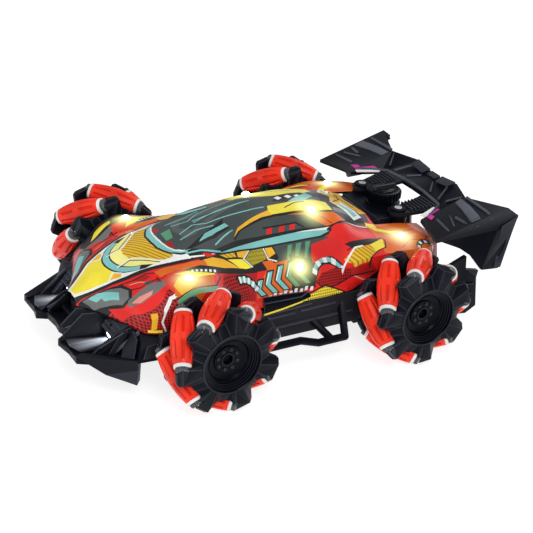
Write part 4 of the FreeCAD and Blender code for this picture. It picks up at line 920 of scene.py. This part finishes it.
def lobed_ring(first, way):
    """Ring of seven folded lobes; way is +1 for the outer disc and -1 for the inner one.

    Returns points, faces and the numbers of the lobes' crest faces. The profile runs along a lobe's
    inner edge (0-4), its outer edge (5-11) and its crest (12-13); points 14-25 repeat 0-11 on the back.
    """
    crest = DISC_OUTER * way
    fold, low = crest - 0.2 * way, crest - 3.8 * way
    half = PITCH / 2
    profile = [(-half, RIM_RADIUS, crest - 0.5 * way), (-17, RIM_RADIUS, fold), (-9, RIM_RADIUS, crest),
               (6, RIM_RADIUS, crest), (16, RIM_RADIUS, fold), (-half, 26.6, low), (-20.5, 27.2, low),
               (-14.5, 33.8, low), (-11, 34.7, low), (9.5, 34.7, low), (13, 34.0, low), (20.5, 27.2, low),
               (-9.6, 32.8, crest), (8.6, 32.8, crest)]
    front, back = len(profile), 12
    points, faces, crests = [], [], []
    for k in range(ROLLERS):
        centre = first - LOBE_LEAD * way + k * PITCH
        points += [polar(centre + turn, radius, height) for turn, radius, height in profile]
        points += [polar(centre + turn, radius, DISC_INNER * way) for turn, radius, _ in profile[:back]]
        a = k * (front + back)
        b, after = a + front, (k + 1) % ROLLERS * (front + back)
        crests.append(len(faces))
        faces += [(a + 2, a + 3, a + 13, a + 12), (a + 1, a + 2, a + 12, a + 7, a + 6),
                  (a + 3, a + 4, a + 11, a + 10, a + 13), (a + 12, a + 13, a + 10, a + 9, a + 8, a + 7),
                  (a, a + 1, a + 6, a + 5), (a + 4, after, after + 5, a + 11)]
        faces += [(a + i, a + i + 1, b + i + 1, b + i) for i in range(5, 11)]
        faces += [(a + 11, after + 5, after + front + 5, b + 11), (b, b + 1, b + 6, b + 5),
                  (b + 4, after + front, after + front + 5, b + 11),
                  tuple(b + i for i in (1, 2, 3, 4, 11, 10, 9, 8, 7, 6))]
        faces += [(a + i, a + i + 1, b + i + 1, b + i) for i in range(4)]
        faces.append((a + 4, after, after + front, b + 4))
    return points, faces, crests


def turned_dish(profile, hole):
    """Revolved (radius, height) form about the axle whose innermost ring is a hexagon."""
    steps = 72
    points = []
    for k in range(steps):
        degrees = 360.0 * k / steps
        bend = math.radians((degrees + 30) % 60 - 30)
        points += [polar(degrees, hole / math.cos(bend) if radius <= hole else radius, height)
                   for radius, height in profile]
    return points, ring_faces(steps, len(profile))


def small_tubes(radius, orbit, wall, low, high, number):
    """Ring of short tubes standing on the dish."""
    steps = 16
    inner = radius - wall
    points, faces = [], []
    for n in range(number):
        cx, _, cz = polar(360.0 * n / number + 15, orbit, 0)
        faces += ring_faces(steps, 4, base=len(points))
        for k in range(steps):
            turn = math.tau * k / steps
            points += [(cx + r * math.cos(turn), h, cz + r * math.sin(turn))
                       for r, h in ((radius, low), (radius, high), (inner, high), (inner, low))]
    return points, faces


def roller_clearance(tag, way):
    """Turned tools that clear the roller ends out of a disc."""
    profile = [(0.001, -2), (8.1, -2), (8.1, 0), (7.5, 8.9), (5.95, 17.9), (4.55, 18.2), (4.55, 20.9),
               (0.001, 20.9)]
    tool = mesh_from("tool", *turned(profile, 32, closed=False))
    cleaned(tool)
    return join_meshes("clearance", [(tool, matrix, 0) for matrix in roller_matrices(tag, way)])


def carve(piece, tool_mesh):
    tool = link("tool", tool_mesh)
    modifier = piece.modifiers.new("carve", "BOOLEAN")
    modifier.operation = "DIFFERENCE"
    modifier.solver = "EXACT"
    modifier.use_self = True
    modifier.object = tool
    apply_modifiers(piece)
    bpy.data.objects.remove(tool)


def make_disc(tag, way):
    """One lobed disc of a wheel, cleared around the roller ends; way as in lobed_ring."""
    name = ("hub_star_" if way > 0 else "hub_plate_") + tag
    points, faces, crests = lobed_ring(wheel_place(tag)[2], way)
    mesh = wheel_mesh(name + "_lobes", points, faces, tag)
    # Crest faces take a slightly paler black and the rounded edges a paler grey: painted sheen and edge
    # highlights.
    for index in crests:
        mesh.polygons[index].material_index = 1
    coloured(mesh, "black_satin", "lobe_face", "facet_grey")
    cleaned(mesh)
    ring = link(name + "_lobes", mesh)
    rounded(ring, 0.35, 18, 2)
    carve(ring, roller_clearance(tag, way))
    smoothed(ring.data, 25)
    attached(ring, name, "wheel_" + tag, "wheel_black")


def wheel_piece(name, form, tag, materials, sharp, node, slot):
    """A turned piece of a wheel; form is (points, faces) about the axle."""
    mesh = wheel_mesh(name, *form, tag)
    finish_mesh(mesh, sharp)
    coloured(mesh, *materials)
    return attached(link(name, mesh), node + tag, "wheel_" + tag, slot)


def make_dish(tag):
    """Deep stepped dish with a hexagonal hole and a ring of eight bolt bosses."""
    profile = [(19.5, 10.6), (19.7, 16.8), (RIM_RADIUS, 17.7), (18.4, 17.8), (17.9, 17.2), (17.7, 16.2),
               (16.8, 15.9), (16.6, 15.1), (15.8, 14.8), (15.6, 14.0), (14.8, 13.7), (14.6, 12.9),
               (13.6, 12.4), (12.8, 11.2), (10.9, 10.2), (9.0, 9.9), (8.6, 10.6), (4.6, 10.6), (4.4, 11.1),
               (3.4, 11.1), (3.0, 10.9), (3.0, 7.2), (12.0, 7.4), (18.2, 9.6)]
    dish = wheel_piece("hub_dish_" + tag, turned_dish(profile, 3.0), tag,
                       ("black_gloss", "lobe_face", "facet_grey"), 28, "hub_star_", "wheel_black")
    # The thin step ridges of the dish take paler greys: painted highlight arcs.
    ridge_highlights = {1: 2, 2: 1, 5: 1, 7: 1, 9: 1, 18: 1}
    for face in dish.data.polygons:
        face.material_index = ridge_highlights.get(face.index % len(profile), 0)
    wheel_piece("hub_bosses_" + tag, small_tubes(0.95, 6.6, 0.45, 10.2, 11.3, 8), tag, ("facet_grey",), 40,
                "hub_star_", "wheel_black")


def make_barrel(tag):
    """Ribbed hub barrel between the discs, with the inner bearing boss, and the rollers' steel pins."""
    profile = [(19.1, 9.8), (19.4, 9.2), (19.4, 4.8), (18.8, 4.4), (18.8, 3.0), (19.4, 2.6), (19.4, -2.6),
               (18.8, -3.0), (18.8, -4.4), (19.4, -4.8), (19.4, -10.0), (19.6, -16.8), (18.4, -17.2),
               (17.6, -15.8), (9.0, -14.2), (8.4, -16.4), (5.6, -16.8), (3.3, -16.8), (3.3, 6.6), (16.0, 6.6),
               (18.4, 8.8)]
    wheel_piece("hub_barrel_" + tag, turned_dish(profile, 3.3), tag, ("black_satin",), 28, "hub_plate_",
                "wheel_black")
    pin = mesh_from("pin", *turned([(0.001, -22.3), (0.7, -22.3), (1.0, -21.9), (1.0, 21.9), (0.7, 22.3),
                                    (0.001, 22.3)], 20, closed=False))
    mesh = join_meshes("pins_" + tag, [(pin, matrix, 0) for matrix in roller_matrices(tag)])
    finish_mesh(mesh, 30)
    coloured(mesh, "steel")
    attached(link("roller_pins_" + tag, mesh), "hub_plate_" + tag, "wheel_" + tag, "motor_steel")


def make_wheels():
    make_rollers()
    for tag in WHEEL_TAGS:
        make_disc(tag, 1)
        make_dish(tag)
        make_disc(tag, -1)
        make_barrel(tag)


# ---------------------------------------------------------------- pieces refined from their solids

def refined(node, name, width, slot, materials=SATIN, flat_angle=2.0, sharp=25, body="chassis"):
    """Copy of a CAD node with its edges rounded and picked out in a paler grey as a painted highlight; its
    place is the node's.
    """
    mesh = frame["nodes"][node].data.copy()
    mesh.name = name
    mesh.materials.clear()
    coloured(mesh, *materials)
    bm = bmesh.new()
    bm.from_mesh(mesh)
    for face in bm.faces:
        face.material_index = 0
    bmesh.ops.remove_doubles(bm, verts=bm.verts, dist=2e-5)
    bmesh.ops.dissolve_limit(bm, angle_limit=math.radians(flat_angle), verts=bm.verts, edges=bm.edges)
    bm.to_mesh(mesh)
    bm.free()
    piece = link(name, mesh)
    if width:
        rounded(piece, width, 20, len(materials) - 1)
    smoothed(piece.data, sharp)
    return attached(piece, node, body, slot)


def tinted(piece, material, chosen):
    """Gives the faces for which chosen(centre, normal) holds another material."""
    index = len(piece.data.materials)
    coloured(piece.data, material)
    for face in piece.data.polygons:
        if chosen(face.center / MM, face.normal) and face.material_index == 0:
            face.material_index = index


def detail(name, parts, materials, slot, width=0.3, node=None, body="chassis"):
    """Small closed forms in millimetres as one rounded piece that rides on a body."""
    mesh = mesh_from(name, *gathered(parts))
    finish_mesh(mesh, 30)
    coloured(mesh, *materials)
    piece = link(name, mesh)
    if width:
        rounded(piece, width, 25, len(materials) - 1)
        smoothed(piece.data, 30)
    return attached(piece, node, body, slot)


def gathered(parts):
    """One list of points and one of faces out of several."""
    points, faces = [], []
    for some_points, some_faces in parts:
        base = len(points)
        points += list(some_points)
        faces += [tuple(base + k for k in face) for face in some_faces]
    return points, faces


def bar_between(a, b, width, height, up=(0, 0, 1), taper=1.0):
    """Wedge-shaped rib from a to b, width across and height along up."""
    a, b, up = Vector(a), Vector(b), Vector(up).normalized()
    across = (b - a).cross(up).normalized() * width / 2
    points = []
    for end, share in ((a, 1.0), (b, taper)):
        for side, rise in ((-1, -0.4), (1, -0.4), (0.45, height), (-0.45, height)):
            points.append(tuple(end + across * side * share + up * rise))
    faces = [(3, 2, 1, 0), (4, 5, 6, 7), (0, 1, 5, 4), (1, 2, 6, 5), (2, 3, 7, 6), (3, 0, 4, 7)]
    return points, faces


def mirrored(parts):
    """The parts and their mirror images across the middle of the car."""
    return parts + [([(x, -y, z) for x, y, z in points], faces) for points, faces in parts]


def placed_spin(profile, steps, position, axis=UP):
    """Closed turned form at a place, its Z axis along the given one."""
    matrix = pose_matrix(position, axis)
    points, faces = turned(profile, steps)
    return [tuple(matrix @ Vector(p)) for p in points], faces


def plate(corners, thickness):
    """Flat or folded plate through its corners, thickened along one direction."""
    count = len(corners)
    points = list(corners) + [tuple(c + d for c, d in zip(p, thickness)) for p in corners]
    faces = [tuple(range(count)), tuple(range(2 * count - 1, count - 1, -1))]
    faces += [(k, (k + 1) % count, count + (k + 1) % count, count + k) for k in range(count)]
    return points, faces


def make_front():
    """Splitter, scoops with their walls and fins, and headlamps in faceted bezels."""
    bumper = refined("front_bumper", "front_bumper_shell", 0.5, "trim_black")
    # Low outer faces that do not face up take a paler grey: a painted sheen.
    tinted(bumper, "facet_grey", lambda c, n: n.z < 0.5 and abs(c.y) > 45 and c.z < 19)
    lamp_axis = Vector((1.0, 0.0, -0.15)).normalized()
    bezel = [(4.6, -0.5), (6.4, -0.5), (7.0, 2.2), (6.0, 3.4), (5.0, 2.6), (4.6, 1.0)]
    lens = [(0.01, 0.0), (4.6, 0.0), (4.5, 1.8), (3.9, 2.7), (2.4, 3.3), (0.01, 3.5)]
    places = [(119.4, 31.0 * hand, 31.0) for hand in (1, -1)]
    bezels = [placed_spin(bezel, 6, place, lamp_axis) for place in places]
    lenses = [placed_spin(lens, 40, place, lamp_axis) for place in places]
    detail("headlamp_bezels", bezels, GLOSS, "trim_black", width=0.25)
    detail("headlamps", lenses, ("headlamp_lit",), "lamp_clear", width=0, node="lamp_lenses")
    walls = [
        # inner wall of the scoop with its second skin, from the hood's foot to the prong
        plate([(120, 19.4, 40), (133, 14.5, 39), (146.5, 16.4, 28.4), (146, 18.4, 26), (120, 20.4, 24.6)],
              (0, 1.2, 0)),
        plate([(121, 13.4, 41.2), (134.5, 8.6, 40), (145, 9.4, 31), (143, 12.4, 27.6), (121, 15.4, 27)],
              (0, 1.2, 0)),
        # outer wall and the pair of fins beside the lamp
        plate([(113, 43.5, 40.6), (122, 41, 37.4), (133, 40, 29.4), (138, 40.4, 25.4), (120, 41.4, 24.4)],
              (0, 1.6, 0)),
        plate([(114, 40.6, 41), (119.5, 38.6, 37), (130.5, 36.6, 26.4), (127, 37.4, 25.2), (117, 39, 33.6)],
              (0.8, 1.4, 0.3)),
        plate([(116, 45, 40), (121.5, 43.6, 35.4), (129, 45.4, 25.6), (126, 46.4, 25), (117.4, 45, 35)],
              (0.8, 1.2, 0.3)),
        # cheek of the pod beside the wheel
        plate([(113.4, 48, 40), (114.8, 56, 38.4), (117.4, 58, 27.2), (123, 52, 26.8), (119, 47.4, 32)],
              (1.2, 0.6, 0)),
        plate([(105, 60.9, 36.4), (111.6, 61.2, 35.8), (114, 61.4, 27.4), (106, 61, 27.4)], (0, 0.8, 0)),
    ]
    struts = [bar_between((111.4, 50, 39.8), (126.4, 45, 25.2), 3.2, 0.8, (0.5, 0.35, 1), 0.7),
              bar_between((122, 17, 38.6), (143.6, 14, 30.4), 0.9, 0.7, (0, 1, 0.3), 0.7),
              bar_between((119, 44.6, 38.0), (133, 41.6, 28.6), 1.0, 0.7, (0, 1, 0.5), 0.8)]
    detail("scoop_struts", mirrored(struts), PALE_FACET, "trim_black", width=0.2)
    covers = [plate([(114 + 2.6 * k, 22 + k, 41.4 - 2.0 * k), (119.4 + 2.4 * k, 23 + k, 38.8 - 2.0 * k),
                     (119.4 + 2.4 * k, 41 - k, 38.2 - 2.0 * k), (114 + 2.6 * k, 42 - k, 40.8 - 2.0 * k)],
                    (0.5, 0, -1.1)) for k in range(3)]
    detail("scoop_walls", mirrored(walls), SATIN, "trim_black", width=0.3)
    detail("scoop_covers", mirrored(covers), FACET, "trim_black", width=0.3)
    floors = [plate([(119, 21.4, 25.6), (146, 18.6, 26.9), (146.6, 28, 26.2), (143, 38, 26.2),
                     (119, 38.4, 25.6)], (0, 0, 0.5))]
    detail("scoop_floors", mirrored(floors), ("scoop_lit",), "trim_black", width=0.15)


def make_lamp_domes():
    """Lenses of the lamps in the shell, each in a glowing collar."""
    dome = [(0.01, -2.4), (2.4, -2.4), (2.4, 0.0), (2.2, 0.9), (1.6, 1.6), (0.8, 1.95), (0.01, 2.05)]
    collar = [(2.35, -1.5), (3.1, -1.5), (3.1, 0.35), (2.8, 0.7), (2.45, 0.5)]
    domes = [placed_spin(dome, 32, lamp) for lamp in LAMPS]
    collars = [placed_spin(collar, 32, lamp) for lamp in LAMPS]
    detail("lamp_domes", domes, ("lamp_lit",), "lamp_clear", width=0, node="lamp_lenses")
    detail("lamp_collars", collars, ("lamp_rim",), "lamp_clear", width=0)


def make_rear():
    """Rear bumper with its ribs, and the wing with its louvres and its ribs made pale as painted highlight
    streaks.
    """
    bumper = refined("rear_bumper", "rear_bumper_box", 0.5, "trim_black")
    # Side-facing faces at the outer rear corners take a paler grey: a painted sheen.
    tinted(bumper, "facet_grey", lambda c, n: abs(n.y) > 0.7 and c.x < -122 and abs(c.y) > 60)
    ribs = [bar_between((-113 - 1.4 * k, 12.0 * k + 3, 38 - 2 * k), (-129, 12.0 * k + 4, 25.5 - 1.5 * k), 2.0,
                        1.6, (-0.6, 0, 1), 0.7) for k in range(5)]
    ribs += [bar_between((-108, 66.2, 16 + 8 * k), (-126, 67.4, 18 + 7 * k), 1.6, 0.8, (0, 1, 0.1), 0.8)
             for k in range(3)]
    detail("rear_bumper_ribs", mirrored(ribs), SATIN, "trim_black", width=0.25)
    refined("rear_wing", "rear_wing_plane", 0.45, "trim_black")
    make_wing_details()


def make_wing_details():
    """Louvre bands, ribs made pale as painted highlight streaks, trailing lip blocks and the striped decal of
    the wing.
    """
    bands = [plate([(-114.5, 69, 79.8), (-118.4, 54, 80.9), (-121, 43, 81.0), (-126, 42.6, 83.0),
                    (-124.6, 54, 83.0), (-121.4, 69, 82.2)], (0, 0, 0.7)),
             plate([(-114.5, 69, 79.8), (-121.4, 69, 82.2), (-122.4, 72.2, 78.4), (-117, 72.2, 77)],
                   (0, 0, 0.6))]
    ribs = [bar_between((-129.6, 44, 84.2), (-128.6, 68, 83.8), 2.2, 1.0, taper=0.6),
            bar_between((-128.6, 68, 83.8), (-129, 72.6, 80.6), 1.8, 1.0, (0, 0.6, 1), 0.5),
            bar_between((-110.6, 58, 79.0), (-111.4, 67, 79.0), 2.0, 0.9, taper=0.7),
            bar_between((-111.4, 67, 79.0), (-113.2, 72, 76), 1.6, 0.9, (0, 0.6, 1), 0.5),
            bar_between((-101.4, 51, 76.0), (-98.4, 68, 75.8), 1.8, 0.8, taper=0.6),
            bar_between((-104, 66, 77.4), (-109.6, 53, 78.6), 1.4, 0.6, taper=0.5),
            bar_between((-119.6, 0, 76.2), (-119.4, 10, 76.2), 1.8, 1.2),
            bar_between((-119.4, 10, 76.2), (-117.6, 31, 75.2), 1.8, 1.2),
            bar_between((-117.6, 31, 75.2), (-100, 43, 74.9), 1.6, 1.0, taper=0.7),
            bar_between((-122.5, 14, 77.2), (-129.5, 6.5, 79.6), 1.6, 0.8, taper=0.6),
            bar_between((-120.5, 26, 77.0), (-132, 20, 81.6), 1.6, 0.8, taper=0.6),
            bar_between((-121.4, 33, 78.0), (-129, 40, 82.8), 1.6, 0.8, taper=0.6)]
    blocks = [plate([(-130.6, 8, 80.4), (-130.6, 20.4, 81.8), (-137.2, 21.4, 83.9), (-137, 6.8, 82.4)],
                    (0, 0, 1.0)),
              plate([(-132.6, 0.02, 80.6), (-132.6, 4.4, 80.6), (-137, 4.8, 82.0), (-137, 0.02, 82.0)],
                    (0, 0, 0.8))]
    edges = [plate([(-136.4, 74.6, 75.6), (-148.4, 74.9, 80.8), (-139.4, 80.6, 70.4), (-132.6, 83.0, 50.6),
                    (-127.4, 82.9, 50.6)], (0, 0.7, 0))]
    slot = "trim_black"
    detail("wing_bands", mirrored(bands), PALE_FACET, slot, width=0.2)
    # The ribs are real, and their pale colour is a painted highlight.
    detail("wing_highlight_ribs", mirrored(ribs), PALE_FACET, slot, width=0.2)
    detail("wing_lip_blocks", mirrored(blocks), FACET, slot, width=0.25)
    detail("wing_plate_edges", mirrored(edges), FACET, slot, width=0.25)
    white = [plate([(-98, 41.4, 74.2), (-113.4, 34.4, 74.6), (-112.6, 31.6, 74.4), (-97.2, 38.4, 74.0)],
                   (0, 0, 0.5))]
    violet = [plate([(-98.8, 48.6, 74.9), (-111.4, 41.4, 76.4), (-113.2, 35.6, 75.0), (-99, 42.2, 74.5)],
                    (0, 0, 0.5))]
    detail("wing_decal_white", mirrored(white), ("paint_white",), slot, width=0)
    detail("wing_decal_violet", mirrored(violet), ("paint_magenta",), slot, width=0)


def make_module():
    """Spray unit: refined housing, ribbed filler cap, boss rings and ribbed arms."""
    refined("spray_tank", "spray_tank_housing", 0.5, "module_black")
    low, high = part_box("tank_cap")
    middle = (low + high) / 2 / MM
    # radius, height and how far every third step stands out as a rib
    profile = ((9.9, 73.0, 0), (11.5, 73.0, 0.55), (11.6, 77.6, 0.55), (11.0, 78.4, 0), (9.8, 78.6, 0),
               (9.4, 78.1, 0), (7.8, 78.1, 0), (7.4, 78.8, 0), (4.6, 79.2, 0), (4.2, 78.7, 0),
               (0.01, 78.7, 0), (0.01, 76.5, 0), (9.9, 76.5, 0))
    steps = 90
    points = []
    for k in range(steps):
        turn = math.tau * k / steps
        for r, h, rib in profile:
            reach = r + rib if k % 3 == 0 else r
            points.append((middle.x + reach * math.cos(turn), middle.y + reach * math.sin(turn), h))
    knurled = (points, ring_faces(steps, len(profile)))
    detail("filler_cap", [knurled], ("black_gloss",), "module_black", width=0, node="tank_cap", body="cap")
    grip = bar_between((middle.x - 8.6, middle.y, 79.0), (middle.x + 8.6, middle.y, 79.0), 3.4, 2.2)
    detail("filler_cap_grip", [grip], SATIN, "module_black", width=0.4, node="tank_cap", body="cap")
    boss = [[(2.9, 2.4), (5.4, 2.4), (5.6, 3.4), (5.0, 4.0), (3.4, 4.0), (3.0, 3.2)],
            [(5.4, -5.0), (6.2, -5.0), (6.3, -1.4), (5.4, -1.0)]]
    neck = [(9.4, 68.0), (11.8, 68.0), (11.8, 69.4), (10.6, 70.0), (10.6, 71.0), (11.2, 71.2), (11.2, 72.2),
            (9.4, 72.4)]
    rings, arms = [], []
    for hand in (1, -1):
        spot = (-91.0, 21.8 * hand, 70.0)
        rings += [placed_spin(ring, 32, spot) for ring in boss]
        for k in range(7):
            x, z = -98.5 - 2.6 * k, 72.9 + 0.27 * k
            arms.append(bar_between((x, (14.8 + 0.1 * k) * hand, z + 0.1), (x, (27.6 + 0.7 * k) * hand, z),
                                    1.3, 1.3))
    rings.append(placed_spin(neck, 60, (middle.x, middle.y, 0)))
    detail("boss_rings", rings, ("black_gloss",), "module_black", width=0)
    detail("arm_ribs", arms, SATIN, "trim_black", width=0.2)


def make_chassis():
    """Tub and sills, side bars and what sits inside."""
    refined("chassis_tray", "chassis_tub", 0.4, "chassis_black")
    refined("side_bars", "side_step_bars", 0, "chassis_black", ("black_satin",), 0.5, 40)
    # Pale grey strips along the sill: painted highlights of the glossy sill and step bars.
    sill = 58.3
    plates = [bar_between((start, sill, low), (end, sill, high), 2.4, 1.0, (0, 1, 0), 0.8)
              for start, low, end, high in ((33, 37, -4, 38.6), (30, 33.5, 8, 34.4), (4, 34.6, -22, 35.4),
                                            (34, 26, -36, 27))]
    detail("sill_highlight_strips", mirrored(plates), FACET, "chassis_black", width=0.3)
    # folded vane on the foot of the door over the printed skin, and the yellow strip below it
    upper = plate([(31, 56.2, 48.6), (14, 56.5, 48.0), (-2, 57.0, 46.8), (4, 58.3, 44.9), (20, 58.4, 45.4),
                   (31, 58.4, 45.8)], (0, -1.6, -0.4))
    lower = plate([(31, 58.9, 45.6), (20, 58.7, 45.2), (4, 58.4, 44.7), (-2, 57.1, 46.6), (-3.6, 58.4, 43.4),
                   (6, 59.2, 41.4), (18, 59.6, 39.8), (31, 59.8, 38.6)], (0, -1.4, 0.2))
    detail("door_vanes", mirrored([upper, lower]), GLOSS, "trim_black", width=0.3)
    strip = plate([(31, 59.9, 37.9), (18, 59.7, 39.1), (3, 59.2, 41.2), (3, 59.2, 42.2), (18, 59.8, 40.3),
                   (31, 60.0, 39.1)], (0, -1.2, 0))
    detail("door_strips", mirrored([strip]), ("paint_yellow",), "shell_print", width=0)
    for node, material in (("chassis_deck", "black_deep"), ("battery_pack", "battery_blue"),
                           ("battery_door", "black_satin"), ("circuit_board", "board_green"),
                           ("power_switch", "switch_grey"), ("motors", "steel"), ("screws", "steel")):
        dress(node, material)
    for tag in WHEEL_TAGS:
        make_drive_shaft(tag)
        dress("motor_pinion_" + tag, "brass")


def make_drive_shaft(tag):
    """Gear and shaft; the end inside the wheel is painted black as the shade of the hexagonal hole, and sits
    deep in it.
    """
    node = "drive_axle_" + tag
    shaft = refined(node, "drive_shaft_" + tag, 0, "gear_white", ("gear_white",), 0.5, 30, "wheel_" + tag)
    (_, middle, _), side, _ = wheel_place(tag)
    for vertex in shaft.data.vertices:
        if side * vertex.co.y > side * middle * MM:
            vertex.co.y = (middle + side * 7.6) * MM
    # The white end inside the wheel is painted black: painted shade of the hole.
    tinted(shaft, "black_deep", lambda c, n: abs(c.y) > 60)


def dress(node, material):
    """A better material on a CAD node that stays as it is."""
    for slot in frame["nodes"][node].material_slots:
        slot.material = MATERIALS[material]


# ---------------------------------------------------------------- stage, light and camera

def make_stage():
    """Plain white floor and surroundings with three soft lights."""
    reach = 4000
    corners = [(-reach, -reach, 0), (reach, -reach, 0), (reach, reach, 0), (-reach, reach, 0)]
    floor = link("floor", mesh_from("floor", corners, [(0, 1, 2, 3)]))
    Nodes("floor_white", {"Base Color": (0.38, 0.38, 0.38, 1.0), "Roughness": 0.9, "Specular IOR Level": 0.0,
                          "Emission Color": (1.0, 1.0, 1.0, 1.0), "Emission Strength": 0.82})
    coloured(floor.data, "floor_white")
    world = bpy.data.worlds.new("studio")
    world.use_nodes = True
    background = world.node_tree.nodes["Background"]
    background.inputs["Color"].default_value = (1.0, 1.0, 1.0, 1.0)
    background.inputs["Strength"].default_value = 0.4
    bpy.context.scene.world = world
    for name, place, aim, power, size in (
            ("key", (0.3, 0.9, 1.1), (0, 0, 0.03), 9.0, 0.7),
            ("fill", (1.1, -0.2, 0.7), (0, 0, 0.03), 3.0, 0.8),
            ("rim", (-0.9, -0.5, 0.8), (0, 0, 0.05), 3.0, 0.5)):
        light = bpy.data.lights.new(name, "AREA")
        light.energy, light.size = power, size
        lamp = bpy.data.objects.new(name, light)
        lamp.location = place
        lamp.rotation_euler = (Vector(aim) - Vector(place)).to_track_quat("-Z", "Y").to_euler()
        bpy.context.scene.collection.objects.link(lamp)


def make_camera():
    """Long lens, above the left front wheel, looking back along the car."""
    data = bpy.data.cameras.new("view")
    data.sensor_width, data.lens = 36.0, 93.65
    data.clip_start, data.clip_end = 0.05, 20.0
    camera = bpy.data.objects.new("view", data)
    azimuth, elevation, roll = math.radians(58.144), math.radians(27.099), math.radians(4.276)
    back = Vector((math.cos(azimuth) * math.cos(elevation), math.sin(azimuth) * math.cos(elevation),
                   math.sin(elevation)))
    target, distance = Vector((-0.0050, 0.0, 0.0363)), 0.9166
    turn = back.to_track_quat("Z", "Y").to_matrix().to_4x4() @ Matrix.Rotation(roll, 4, "Z")
    camera.matrix_world = Matrix.Translation(target + back * distance) @ turn
    bpy.context.scene.collection.objects.link(camera)
    bpy.context.scene.camera = camera
    bpy.context.scene.view_settings.view_transform = "Standard"


# ---------------------------------------------------------------- build

make_materials()
make_shell()
make_wheels()
make_front()
make_lamp_domes()
make_rear()
make_module()
make_chassis()
make_stage()
make_camera()
